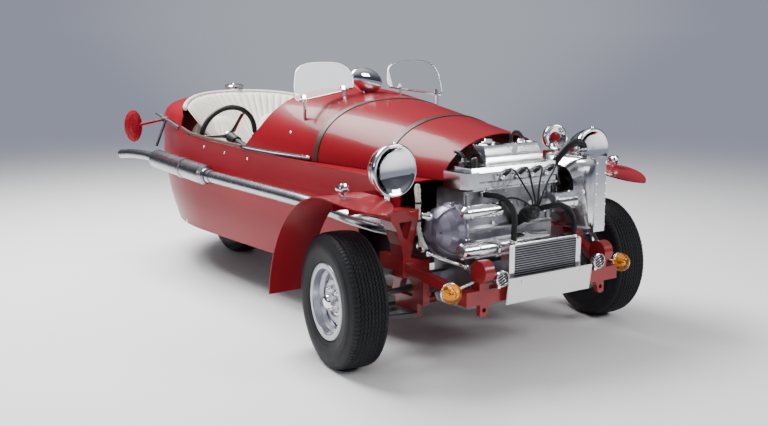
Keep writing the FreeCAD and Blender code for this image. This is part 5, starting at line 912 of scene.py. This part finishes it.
def make_lamp_parts():
    """Headlamp: bullet shell with a rolled bezel in two steps; a bowl mirror whose depth is 2 + 80 times (1 - s^2) at a share s
    of its radius, with 36 radial ripples of s (1 - s); a fluted pane whose dome rises with 1 - s^2; a bulb and a post."""
    for label, sign in SIDES:
        base = np.array((sign * 512, -111, 738.0))
        shell = [
            (-1, 88), (-3.5, 91), (-2.5, 95), (0, 98), (5, 99), (13, 98.6), (15, 96), (17, 94.6), (34, 91), (56, 83),
            (76, 72), (96, 56), (110, 40), (120, 24), (124, 12), (125.5, 2),
        ]
        outer = join_grids("lamp_shell_" + label, [turned(shell, base, BACK, 96)], CHROME)
        share = np.linspace(0.06, 1, 26)
        mirror = np.stack([2 + 80 * (1 - share ** 2), 88.6 * share], axis=1)
        bowl = turned(np.concatenate([mirror, mirror[::-1] + (2.5, 0)]), base, BACK, 144)
        wave = np.sin(full_turn(144) * 36)[None, :]
        bowl[:26, :, 1] += 0.0028 * (share * (1 - share))[:, None] * 4 * wave
        inner = closed_grid("lamp_mirror_" + label, bowl, POLISHED)
        reach = np.linspace(0.02, 1, 24)[:, None]
        turn = full_turn(160)[None, :]
        across, rise = 88 * reach * np.cos(turn), 88 * reach * np.sin(turn)
        flute = 0.5 * np.sin(across * 0.9) * (np.abs(rise) < 60) * (reach < 0.95)
        dome = -6 * (1 - reach ** 2) - 0.5
        front = np.stack([across, dome * np.ones_like(across), rise], axis=-1)
        back = np.stack([across, dome + 1.7 + flute, rise], axis=-1)
        glass = join_grids("lens_" + label, [place(base + np.concatenate([front, back[::-1]]))], LENS)
        bulb = [
            turned([(18, 2), (20, 9), (24, 13), (34, 13), (38, 9), (74, 8)], base, BACK, 24),
            swept(base + np.array(((-80, 22, 0), (-40, 21, 0), (0, 20, 0), (40, 21, 0), (80, 22, 0))), 2.2, 8),
        ]
        join_grids("bulb_" + label, bulb, CHROME)
        stem = [
            turned([(0, 17), (6, 17), (10, 14), (14, 12), (60, 12), (70, 16), (80, 22)], base + (0, 50, -153), UP, 32),
            turned([(-7, 4), (-6, 5), (8, 5), (9, 3.5)], base + (0, 6, 98), BACK, 14),
        ]
        post = join_grids("lamp_post_" + label, stem, CHROME)
        for piece in (outer, inner, post):
            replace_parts(piece, "headlamp_bowls")
        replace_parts(glass, "headlamp_lenses")


def make_indicator_parts():
    """Amber globes, each on a bright seat with a bulb, and alloy arms with four studs."""
    for label, sign in SIDES:
        centre = np.array((sign * 439, -352, 319.0))
        axis = unit((-sign * 0.2, 1, 0.05))
        profile = [(-37.5, 3), (-35, 13), (-30, 22.5), (-22, 30.5), (-12, 35.8), (0, 37.6), (10, 36), (18, 33), (18.5, 20)]
        globe = join_grids("indicator_glass_" + label, [turned(profile, centre, axis, 48)], AMBER)
        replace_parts(globe, "indicators")
        inside = [
            turned([(-16, 4), (-14, 9), (-4, 11), (10, 10), (14, 16)], centre, axis, 20),
            turned([(12, 35), (13, 37.5), (20, 37.5), (26, 30), (34, 18), (37, 6)], centre, axis, 40),
        ]
        join_grids("indicator_seat_" + label, inside, CHROME)
        start, end = np.array((sign * 331.5, -356, 352.0)), np.array((sign * 414, -344, 326.0))
        along = np.linspace(0, 1, 6)[:, None]
        arm = swept(start + along * (end - start), 8, 12, 0.55)
        spots = [start + share * (end - start) + (0, -4.6, 0.5) for share in (0.2, 0.4, 0.6, 0.8)]
        studs = [turned([(0, 3.4), (1.6, 3.0)], spot, FORWARD, 12) for spot in spots]
        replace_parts(join_grids("indicator_arm_" + label, [arm] + studs, POLISHED), "indicators")


def make_horn_fronts():
    """Black mouth with five slanted bars and a rolled ring on each horn."""
    for label, sign in SIDES:
        centre = np.array((sign * 250, -412.4, 359.0))
        join_grids("horn_mouth_" + label, [turned([(0.4, 27), (-0.9, 27), (-1.1, 26)], centre, BACK, 32)], TYRE)
        turn = full_turn(48)
        ring = centre + np.stack([27 * np.cos(turn), np.full(48, 1.0), 27 * np.sin(turn)], axis=1)
        closed_tube("horn_ring_" + label, ring, 2.4, CHROME)
        bars = []
        slope = unit((1, 0, 0.42))
        over = unit((-0.42, 0, 1))
        for step in np.arange(-20, 21, 10):
            reach = np.sqrt(26 ** 2 - step ** 2)
            ends = centre + over * step + slope * np.array((-reach, 0, reach))[:, None] + (0, -1.6, 0)
            bars.append(swept(ends, 1.25, 8))
        join_grids("horn_bars_" + label, bars, CHROME)


def make_plate_bolts():
    """Rim bead and two bolts on the blank plate."""
    lean = np.radians(7.5)
    up = np.array((0, -np.sin(lean), np.cos(lean)))
    middle = np.array((0, -400.6, 302.0))
    turn = full_turn(96)
    across = 213 * np.sign(np.cos(turn)) * np.abs(np.cos(turn)) ** 0.12
    rise = 47 * np.sign(np.sin(turn)) * np.abs(np.sin(turn)) ** 0.12
    edge = middle + across[:, None] * np.array((1, 0, 0)) + rise[:, None] * up
    closed_tube("plate_bead", edge, 1.5, PLATE, 6)
    heads = [hexagon(middle + (x, -0.4, 0) + up * 34, (0, -1, -0.13), 8, 3.5) for x in (-150, 150)]
    join_grids("plate_bolts", heads, CHROME, smooth=False)


def screen_outline(sign, count=60):
    """Edge of one screen on its leaning plane: a superellipse crown over a sloping foot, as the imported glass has."""
    turn = np.linspace(0, np.pi, count)
    c, rise = np.cos(turn), np.sin(turn)
    inner, outer, top = 979, 929, 1098      # heights of the foot's two ends and of the crown
    low = inner + (outer - inner) * (1 + c) / 2
    across = 250 + 154 * np.sign(c) * np.abs(c) ** 0.62
    high = low + 14 + (top - low - 14) * np.abs(rise) ** 0.62
    foot = np.array([(106, 975), (156, 967), (206, 959), (256, 951), (306, 944), (356, 936), (394, 929)], dtype=float)
    flat = np.concatenate([np.stack([across, high], axis=1), foot])
    lean = np.radians(14)
    up = flat[:, 1] - outer
    return np.stack([sign * flat[:, 0], 757.5 + up * np.sin(lean), outer + up * np.cos(lean)], axis=1)


def make_screen_trim():
    """Bright edge round each screen with a channel along its foot, and the oval mirror between them."""
    for label, sign in SIDES:
        edge = screen_outline(sign)
        closed_tube("screen_edge_" + label, edge, 2.6, CHROME)
        foot = edge[-7:] + (0, 0, 3)
        join_grids("screen_channel_" + label, [swept(foot, 5.4, 10, 1.0, BACK)], CHROME)
    centre, tilt = (-8, 799, 1009), np.radians(-17)
    polar = np.linspace(0.02, np.pi - 0.02, 40)[:, None]
    turn = full_turn(64)[None, :]
    x = 88 * np.sin(polar) * np.cos(turn)
    z = 54 * np.sin(polar) * np.sin(turn)
    y = np.where(np.cos(polar) > 0, 8, -34) * np.abs(np.cos(polar)) ** 0.8 * np.ones_like(x)
    shell = np.stack([x * np.cos(tilt) - z * np.sin(tilt), y, x * np.sin(tilt) + z * np.cos(tilt)], axis=-1)
    join_grids("centre_mirror", [place(shell + centre)], CHROME)
    join_grids("centre_glass", [turned([(6, 36), (8.6, 36), (9, 33)], centre, BACK, 40)], MIRROR)


def make_waist_trim():
    """Bright strip with a dark line under it along each waist, and small studs."""
    for label, sign in SIDES:
        y = np.linspace(636, 1150, 24)
        half = np.interp(y, (620, 900, 1152), (408, 448, 459)) + 1
        z = np.interp(y, (620, 1152), (702, 704))
        path = np.stack([sign * half, y, z], axis=1)
        join_grids("waist_strip_" + label, [swept(path, 6, 12, 0.55, (sign, 0, 0))], CHROME)
        join_grids("waist_line_" + label, [swept(path + (0, 0, -10), 4.5, 10, 0.8, (sign, 0, 0))], BLACK)
        side = ((449, 458, 464, 465, 465), (620, 900, 1152, 1465, 1600))
        scuttle = ((431, 452), (760, 1060))
        studs = []
        for y0, z0, (wide, along) in (
            (1534, 665, side), (1096, 652, side), (1320, 658, side), (760, 800, scuttle), (1060, 770, scuttle),
        ):
            spot = (sign * np.interp(y0, along, wide), y0, z0)
            studs.append(turned([(-3, 6), (0, 6), (2.5, 4.5), (3.5, 1)], spot, (sign, 0, 0.05), 16))
        join_grids("waist_studs_" + label, studs, CHROME)


make_screen_trim()
make_waist_trim()
make_lamp_parts()
make_indicator_parts()
make_horn_fronts()
make_plate_bolts()


# Stage and lights

HORIZON = (0.29, 0.305, 0.385, 1)


def backdrop_and_glow_colour(tree, heading, edge):
    """Backdrop colour with a painted pool of spotlight glow: it grows with the cosine between a heading and one fixed
    heading of the room.
    """
    aim = shade(tree, "VectorMath", {0: heading, 1: (0.585, 0.811, 0)}, "Value", operation="DOT_PRODUCT")
    return mix_colours(tree, map_range(tree, aim, 0.95, 1.0, "SMOOTHSTEP"), edge, (0.42, 0.44, 0.5, 1))


def make_stage():
    """Pale floor disc; far from the car its shading passes into an emission of the backdrop's own horizon colour, which
    also carries the painted glow pool.
    """
    angle = full_turn(96)
    radii = np.array((0.01, 2, 4, 7, 12, 25, 60, 160))[:, None]
    grid = np.stack([radii * np.cos(angle), radii * np.sin(angle), np.zeros((8, 96))], axis=-1)
    mesh = bpy.data.meshes.new("floor")
    mesh.from_pydata(grid.reshape(-1, 3).tolist(), [], grid_faces(8, 96, False, True).tolist())
    floor = new_object("floor", mesh)
    material, tree, shader = new_material("pale_floor")
    feed(tree, shader, {"Roughness": 0.5, "Base Color": (0.92, 0.92, 0.91, 1)})
    space = shade(tree, "TexCoord", {}, "Object")
    away = shade(tree, "VectorMath", {0: space}, "Value", operation="LENGTH")
    heading = shade(tree, "VectorMath", {0: space}, "Vector", operation="NORMALIZE")
    glow = shade(tree, "Emission", {"Color": backdrop_and_glow_colour(tree, heading, HORIZON)})
    share = map_range(tree, away, 1.3, 8.5, "SMOOTHERSTEP")
    mix = shade(tree, "MixShader", {0: share, 1: shader.outputs["BSDF"], 2: glow})
    feed(tree, tree.nodes["Material Output"], {"Surface": mix})
    dress(floor, material)


def soft_light(name, where, aim, wide, tall, power, colour=(1, 1, 1)):
    """Rectangular soft box that faces a point."""
    data = bpy.data.lights.new(name, "AREA")
    data.shape = "RECTANGLE"
    data.size, data.size_y = wide, tall
    data.energy = power
    data.color = colour
    back = unit(np.array(where, dtype=float) - np.array(aim, dtype=float))
    aimed(new_object(name, data), *basis(back), back, where)


def make_world():
    """Backdrop for the camera from the horizon's grey-blue upwards; what lights and gloss see is dark with a bright top."""
    world = bpy.data.worlds.new("studio")
    bpy.context.scene.world = world
    world.use_nodes = True
    tree = world.node_tree
    space = shade(tree, "TexCoord", {}, "Generated")
    rise = shade(tree, "SeparateXYZ", {0: space}, "Z")
    ramps = []
    for stops in (
        ((0.0, HORIZON), (0.1, (0.27, 0.285, 0.37, 1)), (0.2, (0.24, 0.26, 0.345, 1)), (0.4, (0.2, 0.22, 0.3, 1))),
        (
            (0.0, (0.035, 0.037, 0.05, 1)), (0.22, (0.07, 0.073, 0.09, 1)), (0.45, (0.22, 0.23, 0.26, 1)),
            (1.0, (0.75, 0.75, 0.77, 1)),
        ),
    ):
        ramp = shade(tree, "ValToRGB", {"Fac": rise}, "Color")
        elements = ramp.node.color_ramp.elements
        for index, (where, colour) in enumerate(stops):
            element = elements[index] if index < 2 else elements.new(where)
            element.position = where
            element.color = colour
        ramps.append(ramp)
    seen = shade(tree, "LightPath", {}, "Is Camera Ray")
    backdrop = backdrop_and_glow_colour(tree, space, ramps[0])
    feed(tree, tree.nodes["Background"], {"Color": mix_colours(tree, seen, ramps[1], backdrop), "Strength": 1.0})


make_stage()
make_world()
soft_light("overhead", (-1.0, 1.6, 3.9), (0, -0.1, 0.4), 3.2, 1.8, 500)
soft_light("front_left", (2.6, -5.0, 3.0), (0, -0.8, 0.5), 2.0, 1.4, 160)
soft_light("near_side", (-4.6, -1.8, 2.2), (-0.3, 0, 0.5), 3.0, 0.9, 26, (0.96, 0.98, 1.0))
